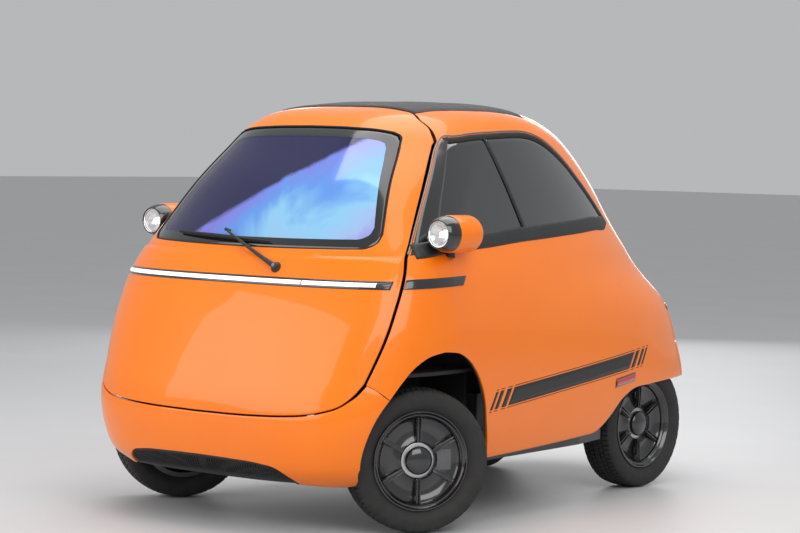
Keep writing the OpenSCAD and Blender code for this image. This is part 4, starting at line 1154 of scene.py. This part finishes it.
def wheels():
    tyre, rim = treadedTyre(), wheelRim()
    # A bright ring shows between the hub and the dish
    disc = join(lathe([(2.5, 40), (2.5, 104), (4, 105), (8.5, 105), (9.5, 104), (9.5, 40), (2.5, 40)],
                      wheel["steps"]),
                lathe([(18, 47), (18, 63), (25, 63), (26, 61), (26, 47), (18, 47)], 72))
    for name, place in wheelPlaces():
        body = name + "_wheel"
        piece(name + "_tyre_tread", moved(tyre.copy(), place), tyreBlack, body, (name + "_tyre",), "tyre",
              sharp=32)
        piece(name + "_rim_spokes", moved(rim.copy(), place), glossBlack, body, (name + "_rim",),
              "rim_black", sharp=36)
        piece(name + "_disc", moved(disc.copy(), place), discSteel, body, slot="bar_metal", sharp=36)
    for bm in (tyre, rim, disc):
        bm.free()


wheels()
print("wheels made")

# Folding roof
canvas = {"cols": 48, "rows": 90, "rise": 5, "thick": 11, "bows": [(-330, 2.2), (-150, 2.2), (20, 1.8)],
          "hem": 26}


def foldingRoof():
    c = canvas
    half, front, back = roofEdge["half"] - 1.2, roofEdge["front"] + 5.2, roofEdge["back"] - 1.2

    def height(x, y):
        up = c["rise"] - 1.6 + sum(h * 0.6 * math.exp(-((y - at) / 11) ** 2) for at, h in c["bows"])
        up += 1.2 * rise((front + c["hem"] - y) / 4) + 1.2 * rise((y - back + c["hem"]) / 4)
        return up - 3.5 * rise((abs(x) - half + 9) / 9) - 3.5 * rise((front + 7 - y) / 7)

    def where(i, v):
        x, y = half * (2 * i / c["cols"] - 1), front + (back - front) * v
        return lifted(onRoof, (x, y), height(x, y))
    bm = outwards(bentGrid(c["cols"], c["rows"], where))
    area = sum(f.calc_area() for f in bm.faces)
    spine = [onRoof(0, front + (back - front) * i / 40) for i in range(41)]
    length = sum((q - p).length for p, q in zip(spine, spine[1:]))
    bmesh.ops.solidify(bm, geom=bm.faces, thickness=c["thick"] / 1000)
    obj = piece("roof_canvas", bm, roofCloth, "root", ("fabric_roof",), "roof_fabric", sharp=60)
    area / length


foldingRoof()
print("folding roof made")

# Seat
seat = {"voxel": 0.008, "quickVoxel": 0.012, "cap": 0.012, "pressure": 4.0, "frames": 20, "round": 22,
        "tilt": 14, "backHigh": 0.44, "channels": (-0.18, 0, 0.18)}


def pad(name, size, place, node):
    # A foam pad swells a little from a smaller block, then its channels are sewn in
    w, d, h = size
    obj = inScene(name, meshOf(name, block(size, seat["round"], 3)))
    m = obj.modifiers.new("voxels", "REMESH")
    m.mode, m.voxel_size = "VOXEL", seat["voxel"]
    bake(obj)
    before = [v.co.copy() for v in obj.data.vertices]
    cloth = obj.modifiers.new("cloth", "CLOTH")
    cloth.settings.use_pressure = True
    cloth.settings.uniform_pressure_force = seat["pressure"]
    cloth.settings.effector_weights.gravity = 0
    cloth.point_cache.frame_start, cloth.point_cache.frame_end = 1, seat["frames"]
    for k in range(1, seat["frames"] + 1):
        scene.frame_set(k)
    bake(obj)
    scene.frame_set(1)
    for v, old in zip(obj.data.vertices, before):
        way = v.co - old
        if way.length > seat["cap"]:
            v.co = old + way.normalized() * seat["cap"]
    bm = bmesh.new()
    bm.from_mesh(obj.data)
    bmesh.ops.smooth_vert(bm, verts=bm.verts, factor=0.5, use_axis_x=True, use_axis_y=True, use_axis_z=True)
    for v in bm.verts:
        top = rise((v.co.z - h / 2000 + 0.03) / 0.02)
        crown = (1 - (2000 * v.co.x / w) ** 2) * (1 - (2000 * v.co.y / d) ** 2)
        dip = sum(math.exp(-((v.co.x - c) / 0.006) ** 2) for c in seat["channels"])
        dip += math.exp(-((abs(v.co.y) - d / 2000 * 0.62) / 0.006) ** 2)
        v.co.z += top * (0.006 * max(crown, 0) - 0.006 * min(dip, 1))
        if v.co.z < -h / 2000 + 0.012:
            v.co.z = -h / 2000
    bmesh.ops.transform(bm, matrix=place, verts=bm.verts)
    bm.to_mesh(obj.data)
    bm.free()
    obj.data.materials.append(seatCloth)
    obj.data.polygons.foreach_set("use_smooth", [True] * len(obj.data.polygons))
    m = obj.modifiers.new("smoothing", "SUBSURF")
    m.levels = m.render_levels = 1
    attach(obj, "root")
    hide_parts(node)


def bake(obj):
    spare = bpy.data.meshes.new_from_object(obj.evaluated_get(bpy.context.evaluated_depsgraph_get()))
    old = obj.data
    obj.modifiers.clear()
    obj.data = spare
    bpy.data.meshes.remove(old)


def seatPads():
    low, high = [Vector(c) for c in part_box("seat_cushion")]
    size = (high - low) * 1000 - Vector((24, 34, 14))
    place = Matrix.Translation((low + high) / 2 - Vector((0, 0, 0.004)))
    pad("seat_cushion_pad", size, place, "seat_cushion")
    low, high = [Vector(c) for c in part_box("seat_backrest")]
    tilt, top = math.radians(seat["tilt"]), seat["backHigh"]
    foot = Vector((0, high.y - top * math.sin(tilt) - 0.044, low.z + 0.01))
    place = Matrix.Translation(foot) @ Matrix.Rotation(-tilt, 4, "X") @ Matrix.Translation((0, 0, top / 2))
    pad("seat_backrest_pad", (760, 415, 66), place @ Matrix.Rotation(math.pi / 2, 4, "X"), "seat_backrest")


seatPads()
print("seat made")

# Finishes of the parts that keep their own shape
kept = {"floor_pan": chassisPaint, "battery_pack": batteryCase, "drive_motor": castAlloy,
        "rear_tub": cabinPlastic,
        "left_wheel_housing": housingPlastic, "right_wheel_housing": housingPlastic,
        "front_suspension": chassisPaint,
        "rear_axle": chassisPaint, "steering_column": cabinPlastic, "pedals": trim, "door_bar": satinSteel,
        "plate_holder": trim, "left_knuckle": castIron, "right_knuckle": castIron,
        "steering_wheel": gripHide}
for name, finish in kept.items():
    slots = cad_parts[name].data.materials
    if not slots:
        slots.append(finish)
    for i in range(len(slots)):
        slots[i] = finish
print("finishes of the other parts set")


# Stage, lights and camera
view = {"at": (6.2323, -7.4877, 1.3423), "yaw": 0.7059, "dip": 0.0481, "roll": 0.0190, "lens": 114.45}


def makeCamera():
    data = bpy.data.cameras.new("camera")
    data.lens, data.sensor_width = view["lens"], 36
    data.clip_start, data.clip_end = 0.1, 100
    cam = inScene("camera", data)
    yaw, dip, roll = view["yaw"], view["dip"], view["roll"]
    ahead = Vector((-math.sin(yaw) * math.cos(dip), math.cos(yaw) * math.cos(dip), -math.sin(dip)))
    side = ahead.cross(Vector((0, 0, 1))).normalized()
    top = side.cross(ahead)
    right = math.cos(roll) * side + math.sin(roll) * top
    up = math.cos(roll) * top - math.sin(roll) * side
    cam.matrix_world = Matrix((right, up, -ahead)).transposed().to_4x4()
    cam.location = view["at"]
    scene.camera = cam


def lamp(name, at, to, size, power):
    data = bpy.data.lights.new(name, "AREA")
    data.shape, data.energy = "RECTANGLE", power
    data.size, data.size_y = size
    obj = inScene(name, data)
    obj.location = at
    obj.rotation_euler = (Vector(to) - Vector(at)).to_track_quat("-Z", "Y").to_euler()


def makeStage():
    bm = bmesh.new()
    bmesh.ops.create_grid(bm, x_segments=2, y_segments=2, size=60)
    floor = inScene("floor", meshOf("floor", bm))
    f = Finish("pale floor")
    grey = f.between(f.noise(1.5, 4), (0.56, 0.56, 0.57), (0.62, 0.62, 0.63))
    floor.data.materials.append(f.done(f.surface(Base_Color=grey, Roughness=0.55)))
    world = bpy.data.worlds.new("studio")
    world.use_nodes = True
    back = world.node_tree.nodes["Background"]
    back.inputs["Color"].default_value = (0.86, 0.87, 0.88, 1)
    back.inputs["Strength"].default_value = 0.55
    scene.world = world
    lamp("key", (7.5, -4.0, 6.0), (0, 0, 0.6), (7, 6), 400)
    lamp("front", (-2.4, -8.0, 3.4), (0, -0.4, 0.7), (9, 5), 300)
    lamp("top", (0, 0.5, 5.2), (0, 0, 0.5), (5, 5), 170)
    lamp("rear", (-4.5, 6.5, 2.4), (0, 0.3, 0.6), (4, 3), 80)


makeCamera()
makeStage()
scene.view_settings.view_transform = "Standard"
print("stage set")
